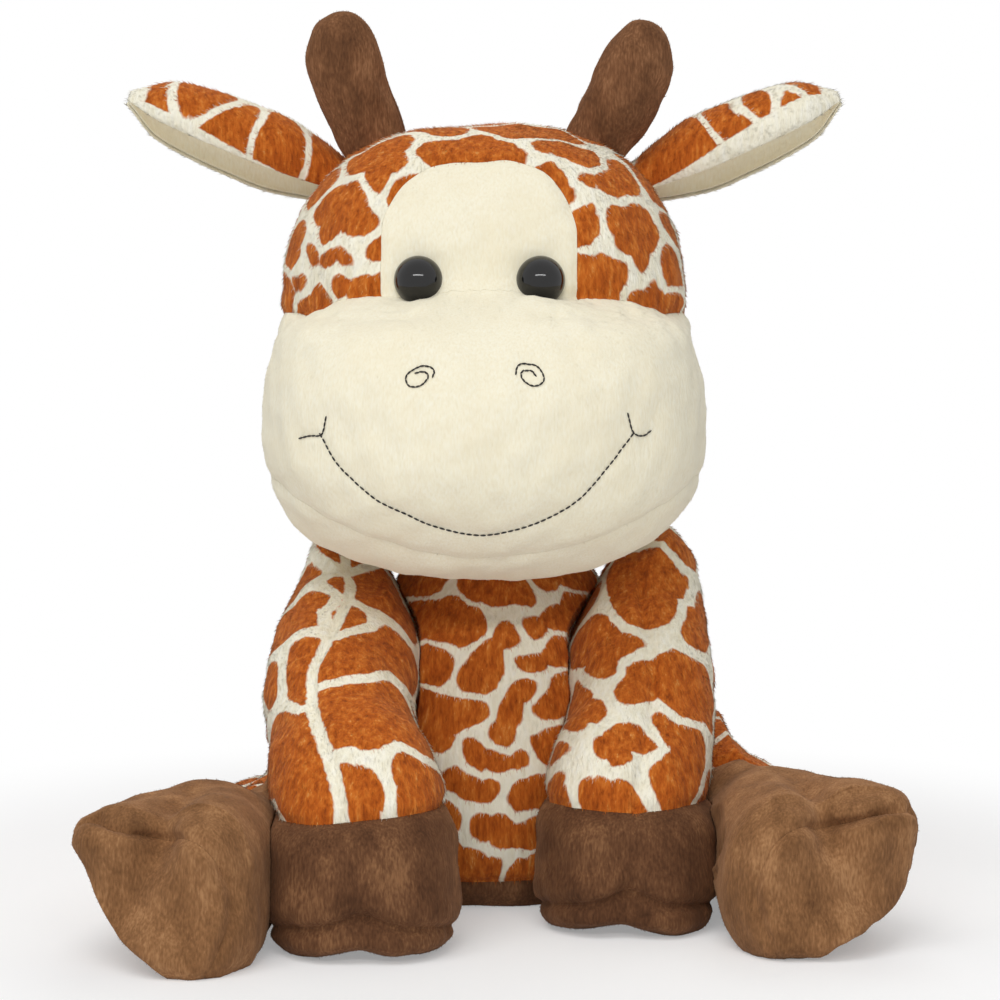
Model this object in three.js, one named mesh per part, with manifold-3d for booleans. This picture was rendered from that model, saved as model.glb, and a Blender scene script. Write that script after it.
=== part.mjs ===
// Seated plush giraffe, about 290 mm tall, as sewn covers, stuffing, eyes and hinged limbs.
// Millimetres, +Z up, the toy looks along -Y, and its own left side is +X.
// The origin is on the floor, in the middle of the seat.
import * as THREE from 'three';
import { mergeVertices } from 'three/addons/utils/BufferGeometryUtils.js';
import Module from 'manifold-3d';

const wasm = await Module();
wasm.setup();

// Cloth and fits
const clothWall = 2.4; // plush cloth with its pile
const sewnGap = 0.3; // gap between two pieces that touch
const swingGap = 0.8; // extra room where one piece swings past another
const footFlat = 0.5; // depth to which soft forms are flattened on the floor
const overrun = 6; // how far a cutter reaches past what it cuts
const sliver = 0.12; // edges shorter than this are closed up after a cut
const roomSliver = 0.7; // the same for the rooms that swinging pieces need
const fillGap = 0.6; // the filling's simple solid lies this far inside its cover
const fillSliver = 0.35; // the filling needs no finer edges than this
const weldReach = 1e-4; // points closer than this are one point

// Head: a crown and a wide muzzle that swells out of it
const headShift = -4; // the head sits a little to the toy's right
const crownHalfWidth = 67;
const crownHalfDepth = 60;
const crownHalfHeight = 69;
const crownHeight = 185; // centre of the crown above the floor
const muzzleHalfWidth = 70;
const muzzleHalfDepth = 60;
const muzzleHalfHeight = 45.5;
const muzzleDrop = 31.5; // centre of the muzzle below the crown's centre
const muzzleHeight = crownHeight - muzzleDrop;
const muzzleForward = 40; // centre of the muzzle in front of the crown's centre
const muzzleSeamReach = 1; // how far the muzzle cloth runs up onto the crown
const crownPower = 2.6; // 2 is an ellipsoid, higher is squarer
const muzzleUpperPower = 3.6; // seen from the front, above and below the muzzle's centre
const muzzleLowerPower = 2.4;
const muzzleDepthPower = 2.3;
const cheekSeamRise = 39; // the seam over the cheeks, above the muzzle's centre
const cheekSeamHeight = muzzleHeight + cheekSeamRise;
const cheekSeamBack = 6; // the muzzle cloth ends this far behind the crown's middle
const foreheadHalfWidth = 31;
const foreheadShift = -5.6;
const foreheadRise = 56; // top of the panel above the crown's centre
const foreheadDrop = 15;
const foreheadTop = crownHeight + foreheadRise;
const foreheadBottom = crownHeight - foreheadDrop;
const foreheadCorner = 24;
const chinDrop = 36.5; // the chin seam's middle below the muzzle's centre
const chinHeight = muzzleHeight - chinDrop;
const chinRise = 30; // how far the seam climbs towards the cheeks

// Neck: a stuffed ball between torso and head
const neckRadius = 25;
const neckHeight = 116;
const neckBack = 6;
const neckFlat = 22.5; // the ball is flat under it and at its sides, this far from its centre

// Eyes: a dome with a shank, held by a washer inside the head
const eyeRadius = 7.5;
const eyeSpacing = 38.6;
const eyeShift = -5.5;
const eyeRise = 18; // above the crown's centre
const eyeHeight = crownHeight + eyeRise;
const eyeSink = 1.6; // how far the dome's centre lies behind the cloth
const shankRadius = 2.2;
const shankLength = 11;
const washerRadius = 7.5;
const washerThickness = 1.6;
const washerSetIn = 3.6; // how far behind the cloth's wall the washer sits

// Horns
const hornBaseXRight = 36;
const hornBaseXLeft = 30;
const hornBaseRise = 59; // above the crown's centre
const hornBaseHeight = crownHeight + hornBaseRise;
const hornTipXRight = 50.5;
const hornTipXLeft = 53.5;
const hornReachRight = 47.5; // height of the tip above the base
const hornReachLeft = 43.5;
const hornBow = 3; // how far the horn's middle bends outward
const hornLean = 4; // how far the tip lies in front of the base
const hornRoot = 8; // how far the horn's form starts inside the head
const hornWidth = 25;
const hornDepth = 23;

// Ears
const earBaseX = 53;
const earBaseRise = 51; // above the crown's centre
const earBaseHeight = crownHeight + earBaseRise;
const earTipXRight = 120;
const earTipXLeft = 115.5;
const earTipRise = 27; // above the ear's base
const earTipHeight = earBaseHeight + earTipRise;
const earBack = 6; // the ears sit behind the middle of the crown
const earHalfWidth = 15;
const earArch = 14;
const earFrontAngle = 108; // degrees from the ear's ridge to its front edge
const earBackAngle = 150;
const earRootShare = -0.08; // the ear starts this share of its length inside the head
const earWidthShares = [0.55, 0.8, 1, 1, 0.95, 0.8, 0.4];

// Torso
const torsoHeight = 122;
const torsoHalfWidth = 51;
const torsoHalfDepth = 47;
const torsoBack = 3;
const torsoSlump = 7; // how far the chest lies behind the belly
const seatRise = 9; // height of the seam round the brown seat cloth
const pelletBagHalfWidth = 30;
const pelletBagHeight = 22;

// Front legs, which stand on the floor in front of the torso
const shoulderX = 46;
const shoulderHeight = 97;
const shoulderForward = 8;
const shoulderRise = 25; // top of the shoulder above its pivot
const shoulderSeamDrop = 9; // below the shoulder's pivot
const shoulderSeamHeight = shoulderHeight - shoulderSeamDrop;
const shoulderSeamX = 25; // the shoulder's inner flat at that height, sewn to the torso
const shoulderSeamLean = 31; // degrees by which the flat leans outward towards the top
const elbowOutRight = 4; // the elbow lies this far outside the shoulder
const elbowOutLeft = 1;
const shoulderRootRadius = 7; // turned root of the leg, flat across its hinge, in the torso
const shoulderRootX = 24.5;
const forelegHalfWidth = 24;
const forelegHalfDepth = 23;
const wristX = 42;
const wristHeight = 39;
const foreHoofX = 40;
const foreHoofReachRight = 94; // hoof centre in front of the origin
const foreHoofReachLeft = 61;
const wristSetBack = 9; // the wrist lies this far behind the hoof
const foreSoleFront = 11; // height of the sole seam at the toe
const foreSoleBack = 4;

// Hind legs, which lie on the floor with the soles facing forward and outward
const hipX = 46;
const hipHeight = 30;
const hipBack = 8;
const hipSeamX = 34;
const hipRootRadius = 24; // the hind leg's root turns flat between two faces in the torso
const hipRootHalfHeight = 6;
const hipRootHalfWidth = 12.5;
const hipRootLap = 6; // how far the root reaches into the leg's filling
const hindHalfWidth = 26;
const hindHalfHeight = 25.5;
const kneeX = 72;
const kneeBack = 0;
const ankleX = 88;
const hindSoleX = 101;
const hindSoleReachRight = 126;
const hindSoleReachLeft = 106;
const hindHoofLength = 62;
const hindSoleThickness = 7;
const hoofSettle = 1.6; // the hoof's spine lies this much lower than half its height
const cleftDepthShare = 0.16;
const cleftStartShare = 0.62; // the cleft starts this far along a leg
const cleftFullShare = 0.9;

// Tail
const tailRootHeight = 38;
const tailRootBack = 49;
const tailLength = 46;
const tailEndHeight = 14;
const tailRadius = 6;
const tuftLength = 26;
const tuftRadius = 8.5;

// Swings of the joints, in degrees, for the room that each one needs
const turnSwing = 14;
const nodSwing = 18;
const shoulderSwingLeft = [-4, 30];
const shoulderSwingRight = [-12, 18];
const hipSwing = 18;
const earSwing = 15;
const hornSwing = 8;
const tailSwing = 30;

// Numbers of sides and rings of the soft forms
const headSides = 24;
const headRings = 14;
const bodySides = 20;
const bodyRings = 12;
const legSides = 16;
const legRings = 12;
const hornSides = 12;
const hornRings = 8;
const tailSides = 8;
const tailRings = 6;
const earSteps = 8;
const earArcSteps = 6;
const turnedSides = 16;
const outlineSteps = 6;

// A coarse form's flats lie these shares of its half width inside its corners
const flatMargin = 1.05;
const headFlatShare = 1 / Math.cos((2 * Math.PI) / headSides) - 1;
const flatShare = flatMargin / Math.cos((2 * Math.PI) / legSides) - 1;

const patternCloth = { color: 0xbe5f23, roughness: 0.9, metalness: 0 };
const creamCloth = { color: 0xf3e8cd, roughness: 0.95, metalness: 0 };
const brownCloth = { color: 0x6e4b32, roughness: 0.9, metalness: 0 };
const fibre = { color: 0xf4f4f0, roughness: 1, metalness: 0 };
const blackGloss = { color: 0x0c0a09, roughness: 0.08, metalness: 0 };
const whitePlastic = { color: 0xe8e8e4, roughness: 0.5, metalness: 0 };

const point = (x, y, z) => new THREE.Vector3(x, y, z);
const axisX = point(1, 0, 0);
const axisY = point(0, 1, 0);
const axisZ = point(0, 0, 1);
const bothSides = [-1, 1];

function solidOf(geometry) {
  const bare = geometry.clone();
  bare.deleteAttribute('normal');
  bare.deleteAttribute('uv');
  const merged = mergeVertices(bare, weldReach);
  const vertProperties = Float32Array.from(merged.attributes.position.array);
  const triVerts = Uint32Array.from(merged.index.array);
  return new wasm.Manifold(new wasm.Mesh({ numProp: 3, vertProperties, triVerts }));
}

function geometryOf(solid) {
  const mesh = solid.getMesh();
  const geometry = new THREE.BufferGeometry();
  geometry.setAttribute('position', new THREE.BufferAttribute(Float32Array.from(mesh.vertProperties), 3));
  geometry.setIndex(Array.from(mesh.triVerts));
  const flat = geometry.toNonIndexed();
  flat.computeVertexNormals();
  return flat;
}

// A cut can leave slivers, so a piece keeps its largest body, without its shortest edges
function mainBody(solid, shortest) {
  const bodies = solid.simplify(shortest).decompose();
  return bodies.reduce((best, body) => (body.volume() > best.volume() ? body : best));
}

const placed = (geometry, matrix) => solidOf(geometry.clone().applyMatrix4(matrix));

function turnedAbout(pivot, axis, degrees) {
  const turn = new THREE.Matrix4().makeRotationAxis(axis, THREE.MathUtils.degToRad(degrees));
  const there = new THREE.Matrix4().makeTranslation(pivot.x, pivot.y, pivot.z);
  const back = there.clone().invert();
  return there.multiply(turn).multiply(back);
}

const united = (solids) => solids.reduce((sum, solid) => sum.add(solid));

// The space that a solid passes through as it swings from one angle to another
function swept(solid, pivot, axis, from, to, steps) {
  const copies = Array.from({ length: steps + 1 }, (_, i) => {
    const degrees = THREE.MathUtils.lerp(from, to, i / steps);
    return solid.transform(turnedAbout(pivot, axis, degrees).elements);
  });
  return united(copies);
}

const standing = (solid, inset) => solid.trimByPlane([0, 0, 1], inset);

// A rounded box between an ellipsoid and a block. The powers shape its upper and its lower
// half as seen from the front, and its depth.
function roundedForm(centre, half, powers, inset, coarse) {
  const share = coarse ? 2 : 1;
  const geometry = new THREE.SphereGeometry(1, headSides / share, headRings / share);
  const position = geometry.attributes.position;
  for (let i = 0; i < position.count; i += 1) {
    const unit = point(position.getX(i), -position.getZ(i), position.getY(i));
    const power = unit.z > 0 ? powers.upper : powers.lower;
    const face = Math.abs(unit.x) ** power + Math.abs(unit.z) ** power;
    const sum = face ** (powers.depth / power) + Math.abs(unit.y) ** powers.depth;
    const reach = sum ** (-1 / powers.depth);
    position.setXYZ(
      i,
      centre.x + unit.x * reach * (half.x - inset),
      centre.y + unit.y * reach * (half.y - inset),
      centre.z + unit.z * reach * (half.z - inset),
    );
  }
  return solidOf(geometry);
}

const along = (shares, t) => {
  const curve = new THREE.SplineCurve(shares.map((share, i) => new THREE.Vector2(share, i)));
  return curve.getPoint(t).x;
};

// A stuffed limb along a curved spine. Its section swells by the tables of shares, both
// ends are domed, and a hoof has a cleft in its toe side that deepens towards the end.
function limbForm(limb, inset, coarse) {
  const sides = coarse ? limb.sides / 2 : limb.sides;
  const rings = limb.rings;
  const spine = new THREE.CatmullRomCurve3(limb.spine, false, 'centripetal');
  const margin = inset / spine.getLength();
  const vertices = [];
  for (let ring = 0; ring <= rings; ring += 1) {
    const place = (1 - Math.cos((Math.PI * ring) / rings)) / 2;
    const t = margin + place * (1 - 2 * margin);
    const centre = spine.getPointAt(THREE.MathUtils.clamp(t, 0, 1));
    const tangent = spine.getTangentAt(THREE.MathUtils.clamp(t, 0, 1));
    centre.addScaledVector(tangent, (t - THREE.MathUtils.clamp(t, 0, 1)) * spine.getLength());
    if (ring === 0 || ring === rings) {
      vertices.push(centre);
      continue;
    }
    const toe = limb.toe.clone().addScaledVector(tangent, -limb.toe.dot(tangent)).normalize();
    const side = new THREE.Vector3().crossVectors(toe, tangent);
    const power = place < 0.5 ? limb.rootPower : limb.endPower;
    const dome = (1 - Math.abs(2 * place - 1) ** power) ** (1 / power);
    const halfSide = (limb.halfWidth * along(limb.widthShares, place) - inset) * dome;
    const halfToe = (limb.halfDepth * along(limb.depthShares, place) - inset) * dome;
    const cleftGrowth = THREE.MathUtils.smoothstep(place, cleftStartShare, cleftFullShare);
    for (let i = 0; i < sides; i += 1) {
      const angle = (2 * Math.PI * i) / sides;
      const c = Math.cos(angle);
      const s = Math.sin(angle);
      const reach = (Math.abs(c) ** limb.power + Math.abs(s) ** limb.power) ** (-1 / limb.power);
      const cleft = i * 4 === sides ? 1 - limb.cleftShare * cleftGrowth : 1;
      const vertex = centre.clone().addScaledVector(side, c * reach * halfSide);
      vertices.push(vertex.addScaledVector(toe, s * reach * halfToe * cleft));
    }
  }
  const triangles = [];
  const first = (ring) => 1 + (ring - 1) * sides;
  for (let i = 0; i < sides; i += 1) {
    const next = (i + 1) % sides;
    triangles.push(0, first(1) + i, first(1) + next);
    for (let ring = 1; ring < rings - 1; ring += 1) {
      triangles.push(first(ring) + i, first(ring + 1) + i, first(ring + 1) + next);
      triangles.push(first(ring) + i, first(ring + 1) + next, first(ring) + next);
    }
    triangles.push(first(rings - 1) + i, vertices.length - 1, first(rings - 1) + next);
  }
  return outwardSolid(vertices, triangles);
}

// A solid with its faces outward, whichever way round its triangles were listed
function outwardSolid(vertices, triangles) {
  const coordinates = vertices.flatMap((vertex) => vertex.toArray());
  const geometry = new THREE.BufferGeometry();
  geometry.setAttribute('position', new THREE.Float32BufferAttribute(coordinates, 3));
  geometry.setIndex(triangles);
  const solid = solidOf(geometry);
  if (solid.volume() > 0) {
    return solid;
  }
  geometry.setIndex(triangles.slice().reverse());
  return solidOf(geometry);
}

// A cloth of even thickness between two grids of points
function clothSheet(outer, inner, rows, columns) {
  const vertices = [];
  const gridIndex = (layer, row, column) => (layer * (rows + 1) + row) * (columns + 1) + column;
  [outer, inner].forEach((surface) => {
    for (let row = 0; row <= rows; row += 1) {
      for (let column = 0; column <= columns; column += 1) {
        vertices.push(surface(row / rows, (2 * column) / columns - 1));
      }
    }
  });
  const triangles = [];
  const quad = (...corners) => {
    const [a, b, c, d] = corners.map(([layer, row, column]) => gridIndex(layer, row, column));
    triangles.push(a, b, c, a, c, d);
  };
  for (let row = 0; row < rows; row += 1) {
    const next = row + 1;
    for (let column = 0; column < columns; column += 1) {
      quad([0, row, column], [0, next, column], [0, next, column + 1], [0, row, column + 1]);
      quad([1, row, column], [1, row, column + 1], [1, next, column + 1], [1, next, column]);
    }
    quad([0, next, 0], [0, row, 0], [1, row, 0], [1, next, 0]);
    quad([0, row, columns], [0, next, columns], [1, next, columns], [1, row, columns]);
  }
  for (let column = 0; column < columns; column += 1) {
    const next = column + 1;
    quad([0, 0, column], [0, 0, next], [1, 0, next], [1, 0, column]);
    quad([0, rows, next], [0, rows, column], [1, rows, column], [1, rows, next]);
  }
  return outwardSolid(vertices, triangles);
}

// A prism along Y over an outline in X and Z
function frontPrism(shape, fromY, toY) {
  const settings = { depth: toY - fromY, bevelEnabled: false, curveSegments: outlineSteps };
  const geometry = new THREE.ExtrudeGeometry(shape, settings);
  geometry.rotateX(Math.PI / 2);
  geometry.translate(0, toY, 0);
  return solidOf(geometry);
}

const neckPivot = point(headShift / 2, neckBack, neckHeight);
const crownCentre = point(headShift, 0, crownHeight);
const crownHalf = point(crownHalfWidth, crownHalfDepth, crownHalfHeight);
const muzzleCentre = point(headShift, -muzzleForward, muzzleHeight);
const muzzleHalf = point(muzzleHalfWidth, muzzleHalfDepth, muzzleHalfHeight);

const crownPowers = { upper: crownPower, lower: crownPower, depth: crownPower };
const muzzlePowers = { upper: muzzleUpperPower, lower: muzzleLowerPower, depth: muzzleDepthPower };
const crownForm = (inset, coarse) => roundedForm(crownCentre, crownHalf, crownPowers, inset, coarse);
const muzzleForm = (inset, coarse) => roundedForm(muzzleCentre, muzzleHalf, muzzlePowers, inset, coarse);
const headForm = (inset, coarse) => crownForm(inset, coarse).add(muzzleForm(inset, coarse));

function neckBall(radius) {
  const ball = new THREE.SphereGeometry(radius, turnedSides, turnedSides / 2);
  return placed(ball, new THREE.Matrix4().makeTranslation(neckPivot.x, neckPivot.y, neckPivot.z));
}

// A turned room's flats clear the corners of what turns in it
const turnedRoom = (radius) => (radius + sewnGap) / Math.cos(Math.PI / turnedSides);

// The neck turns on the flat under it, and the head nods between the flats at its sides
const flatUnder = (ball, flat) => ball.trimByPlane([0, 0, 1], neckPivot.z - flat);

function flatSided(ball, flat) {
  return ball.trimByPlane([1, 0, 0], neckPivot.x - flat).trimByPlane([-1, 0, 0], -neckPivot.x - flat);
}

const neckRoom = neckBall(turnedRoom(neckRadius) / Math.cos(Math.PI / turnedSides));
const torsoSocket = flatUnder(neckRoom, neckFlat + sewnGap);
const headSocket = flatSided(neckRoom, neckFlat + sewnGap);

const torso = {
  spine: [
    point(0, torsoBack, -overrun),
    point(0, torsoBack, torsoHeight / 3),
    point(0, torsoBack + torsoSlump, torsoHeight),
  ],
  halfWidth: torsoHalfWidth,
  halfDepth: torsoHalfDepth,
  widthShares: [0.95, 1, 1, 0.94, 0.84, 0.76, 0.7],
  depthShares: [0.95, 1, 1, 0.95, 0.86, 0.78, 0.72],
  toe: point(0, -1, 0),
  power: 2.2,
  rootPower: 6,
  endPower: 3.2,
  cleftShare: 0,
  sides: bodySides,
  rings: bodyRings,
};

const sideName = (side) => (side > 0 ? 'left' : 'right');
const shoulderPivot = (side) => point(side * shoulderX, -shoulderForward, shoulderHeight);
const hipPivot = (side) => point(side * hipX, hipBack, hipHeight);
const elbowOut = (side) => (side > 0 ? elbowOutLeft : elbowOutRight);
const foreReach = (side) => (side > 0 ? foreHoofReachLeft : foreHoofReachRight);
const hindReach = (side) => (side > 0 ? hindSoleReachLeft : hindSoleReachRight);

function foreleg(side) {
  const reach = foreReach(side);
  const pivot = shoulderPivot(side);
  const wristY = -reach + wristSetBack;
  return {
    spine: [
      point(pivot.x, pivot.y + shoulderRise / 4, pivot.z + shoulderRise),
      pivot,
      point(pivot.x + side * elbowOut(side), (pivot.y + wristY) / 2, (pivot.z + wristHeight) / 2),
      point(side * wristX, wristY, wristHeight),
      point(side * foreHoofX, -reach, -footFlat),
    ],
    halfWidth: forelegHalfWidth,
    halfDepth: forelegHalfDepth,
    widthShares: [0.98, 0.97, 0.98, 1, 1, 1.14, 1.22, 1.2],
    depthShares: [1, 1, 1, 1, 1, 1.1, 1.18, 1.18],
    toe: point(0, -1, 0),
    power: 2.3,
    rootPower: 3.2,
    endPower: 9,
    cleftShare: cleftDepthShare,
    sides: legSides,
    rings: legRings,
  };
}

function hindLeg(side) {
  const reach = hindReach(side);
  return {
    spine: [
      point(side * (hipSeamX - overrun), hipBack, hipHeight),
      hipPivot(side),
      point(side * kneeX, kneeBack, hipHeight),
      point(side * ankleX, -reach + hindHoofLength, hindHalfHeight - hoofSettle),
      point(side * hindSoleX, -reach, hindHalfHeight - hoofSettle),
    ],
    halfWidth: hindHalfWidth,
    halfDepth: hindHalfHeight,
    widthShares: [1, 1, 1, 0.9, 0.92, 1.05, 1.12, 1.12],
    depthShares: [1.1, 1.18, 1.14, 1.02, 0.97, 0.98, 1, 1],
    toe: point(0, 0, 1),
    power: 2.3,
    rootPower: 2.6,
    endPower: 9,
    cleftShare: cleftDepthShare,
    sides: legSides,
    rings: legRings,
  };
}

function horn(side) {
  const [baseX, tipX, reach] =
    side > 0
      ? [hornBaseXLeft, hornTipXLeft, hornReachLeft]
      : [hornBaseXRight, hornTipXRight, hornReachRight];
  const base = point(headShift / 2 + side * baseX, 0, hornBaseHeight);
  const tip = point(headShift / 2 + side * tipX, -hornLean, hornBaseHeight + reach);
  const outward = tip.clone().sub(base).normalize();
  const middle = base.clone().lerp(tip, 1 / 2).setX((base.x + tip.x) / 2 + side * hornBow);
  return {
    base,
    spine: [base.clone().addScaledVector(outward, -hornRoot), middle, tip],
    halfWidth: hornWidth / 2,
    halfDepth: hornDepth / 2,
    widthShares: [0.8, 0.84, 0.94, 1.02, 1.05, 1.04],
    depthShares: [0.8, 0.84, 0.94, 1.02, 1.05, 1.04],
    toe: point(0, -1, 0),
    power: 2,
    rootPower: 6,
    endPower: 2.6,
    cleftShare: 0,
    sides: hornSides,
    rings: hornRings,
  };
}

const tailRoot = point(0, tailRootBack, tailRootHeight);
const tailEnd = point(0, tailRootBack + tailLength, tailEndHeight);
const tuftEnd = point(0, tailRootBack + tailLength + tuftLength, tuftRadius);

const tail = {
  spine: [
    tailRoot.clone().setY(tailRootBack - overrun),
    point(0, tailRootBack + tailLength / 2, (2 * tailRootHeight + tailEndHeight) / 3),
    tailEnd,
  ],
  halfWidth: tailRadius,
  halfDepth: tailRadius,
  widthShares: [1.15, 1, 0.9, 0.85],
  depthShares: [1.15, 1, 0.9, 0.85],
  toe: point(1, 0, 0),
  power: 2,
  rootPower: 8,
  endPower: 8,
  cleftShare: 0,
  sides: tailSides,
  rings: tailRings,
};
const tuft = {
  ...tail,
  spine: [tailEnd, tailEnd.clone().lerp(tuftEnd, 1 / 2), tuftEnd],
  halfWidth: tuftRadius,
  halfDepth: tuftRadius,
  widthShares: [0.8, 1, 1, 0.75, 0.4],
  depthShares: [0.8, 1, 1, 0.75, 0.4],
  rootPower: 4,
  endPower: 2,
};

const root = new THREE.Group();

function bodyGroup(parent, pivot) {
  const group = new THREE.Group();
  parent.updateWorldMatrix(true, false);
  group.position.copy(parent.worldToLocal(pivot.clone()));
  parent.add(group);
  group.updateWorldMatrix(true, false);
  return group;
}

function addPiece(group, name, solid, finish) {
  const geometry = geometryOf(mainBody(solid, finish === fibre ? fillSliver : sliver));
  const origin = group.getWorldPosition(new THREE.Vector3());
  geometry.translate(-origin.x, -origin.y, -origin.z);
  const mesh = new THREE.Mesh(geometry, new THREE.MeshStandardMaterial(finish));
  mesh.name = name;
  group.add(mesh);
}

// Where the head can be as it nods and turns
function headSpace(room) {
  const grown = headForm(-room - crownHalfWidth * headFlatShare, true);
  const nodded = swept(grown, neckPivot, axisX, 0, -nodSwing, 2);
  return swept(nodded, neckPivot, axisZ, -turnSwing, turnSwing, 4).simplify(roomSliver);
}

const headRoom = headSpace(sewnGap + swingGap);
const shoulderSwing = (side) => (side > 0 ? shoulderSwingLeft : shoulderSwingRight);

// A front leg's whole form. Its inner side is flat where it is sewn to the torso.
function forelegForm(side, inset, coarse) {
  const lean = THREE.MathUtils.degToRad(shoulderSeamLean);
  const outward = point(side * Math.cos(lean), 0, -Math.sin(lean));
  const seam = point(side * shoulderSeamX, 0, shoulderSeamHeight);
  const whole = standing(limbForm(foreleg(side), inset, coarse), inset);
  return whole.trimByPlane(outward.toArray(), outward.dot(seam) + inset);
}

// Room for a front leg, from its coarse form, whose flats are grown past the fine one's
function forelegRoom(side) {
  const [back, up] = shoulderSwing(side);
  const grown = sewnGap + swingGap + forelegHalfWidth * flatShare;
  const sweep = swept(forelegForm(side, -grown, true), shoulderPivot(side), axisX, -back, -up, 3);
  return sweep.simplify(roomSliver);
}

function headPastForeleg(side) {
  const [back, up] = shoulderSwing(side);
  return swept(headRoom, shoulderPivot(side), axisX, back, up, 3).simplify(roomSliver);
}

function hindForm(side, inset, coarse) {
  const flat = point(side, 0, 0).toArray();
  return standing(limbForm(hindLeg(side), inset, coarse), inset).trimByPlane(flat, hipSeamX + inset);
}

function hindRoom(side) {
  const grown = sewnGap + swingGap + hindHalfWidth * flatShare;
  const sweep = swept(hindForm(side, -grown, true), hipPivot(side), axisZ, 0, side * hipSwing, 2);
  return sweep.simplify(roomSliver);
}

const foreRooms = new Map(bothSides.map((side) => [side, forelegRoom(side)]));

const torsoForm = (inset, coarse) => standing(limbForm(torso, inset, coarse), inset);
const limbRooms = united([...foreRooms.values(), ...bothSides.map(hindRoom)]);

// A turned shape about a seat's axis, from one place along it to another
function drum(seat, radius, from, to) {
  const shape = new THREE.CylinderGeometry(radius, radius, to - from, turnedSides);
  shape.translate(0, (from + to) / 2, 0);
  return placed(shape, seat);
}

function seatAt(pivot, axis) {
  const turn = new THREE.Quaternion().setFromUnitVectors(axisY, axis);
  return new THREE.Matrix4().compose(pivot, turn, point(1, 1, 1));
}

function shoulderRoot(side, radius, gap) {
  const seat = seatAt(shoulderPivot(side), point(side, 0, 0));
  return drum(seat, radius, shoulderRootX - shoulderX - gap, 0);
}

function hipDisc(side, radius, gap) {
  const half = hipRootHalfHeight + gap;
  return drum(seatAt(hipPivot(side), axisZ), radius, -half, half);
}

function hipRoot(side, gap) {
  const half = hipRootHalfWidth + gap;
  const disc = hipDisc(side, hipRootRadius, gap);
  const tongue = disc.trimByPlane([0, 1, 0], hipBack - half).trimByPlane([0, -1, 0], -hipBack - half);
  return tongue.trimByPlane([-side, 0, 0], -hipSeamX - hipRootLap - gap);
}

const shoulderRootRoom = (side) => shoulderRoot(side, turnedRoom(shoulderRootRadius), sewnGap);
const hipRootRoom = (side) => hipDisc(side, turnedRoom(hipRootRadius), sewnGap);

function buildTorso() {
  const rootRooms = [...bothSides.map(shoulderRootRoom), ...bothSides.map(hipRootRoom)];
  const rooms = united([limbRooms, torsoSocket, ...rootRooms]);
  const clear = (solid) => solid.subtract(headRoom).subtract(rooms);
  const shell = clear(torsoForm(0, false).subtract(torsoForm(clothWall, true)));
  const bagFlat = clothWall + sewnGap;
  const bag = {
    ...torso,
    spine: [point(0, torsoBack, 0), point(0, torsoBack, pelletBagHeight)],
    halfWidth: pelletBagHalfWidth,
    halfDepth: pelletBagHalfWidth,
    widthShares: [1, 1, 0.9, 0.8],
    depthShares: [1, 1, 0.9, 0.8],
    sides: legSides,
    rings: legRings / 2,
    rootPower: 4,
    endPower: 2.4,
  };
  const stuffing = clear(torsoForm(clothWall + fillGap, true)).subtract(limbForm(bag, 0, false));
  addPiece(root, 'torso_cover', shell.trimByPlane([0, 0, 1], seatRise + sewnGap / 2), patternCloth);
  addPiece(root, 'seat_panel', shell.trimByPlane([0, 0, -1], -seatRise + sewnGap / 2), brownCloth);
  addPiece(root, 'torso_stuffing', stuffing, fibre);
  addPiece(root, 'pellet_bag', standing(limbForm(bag, sewnGap, false), bagFlat), whitePlastic);
}

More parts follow.
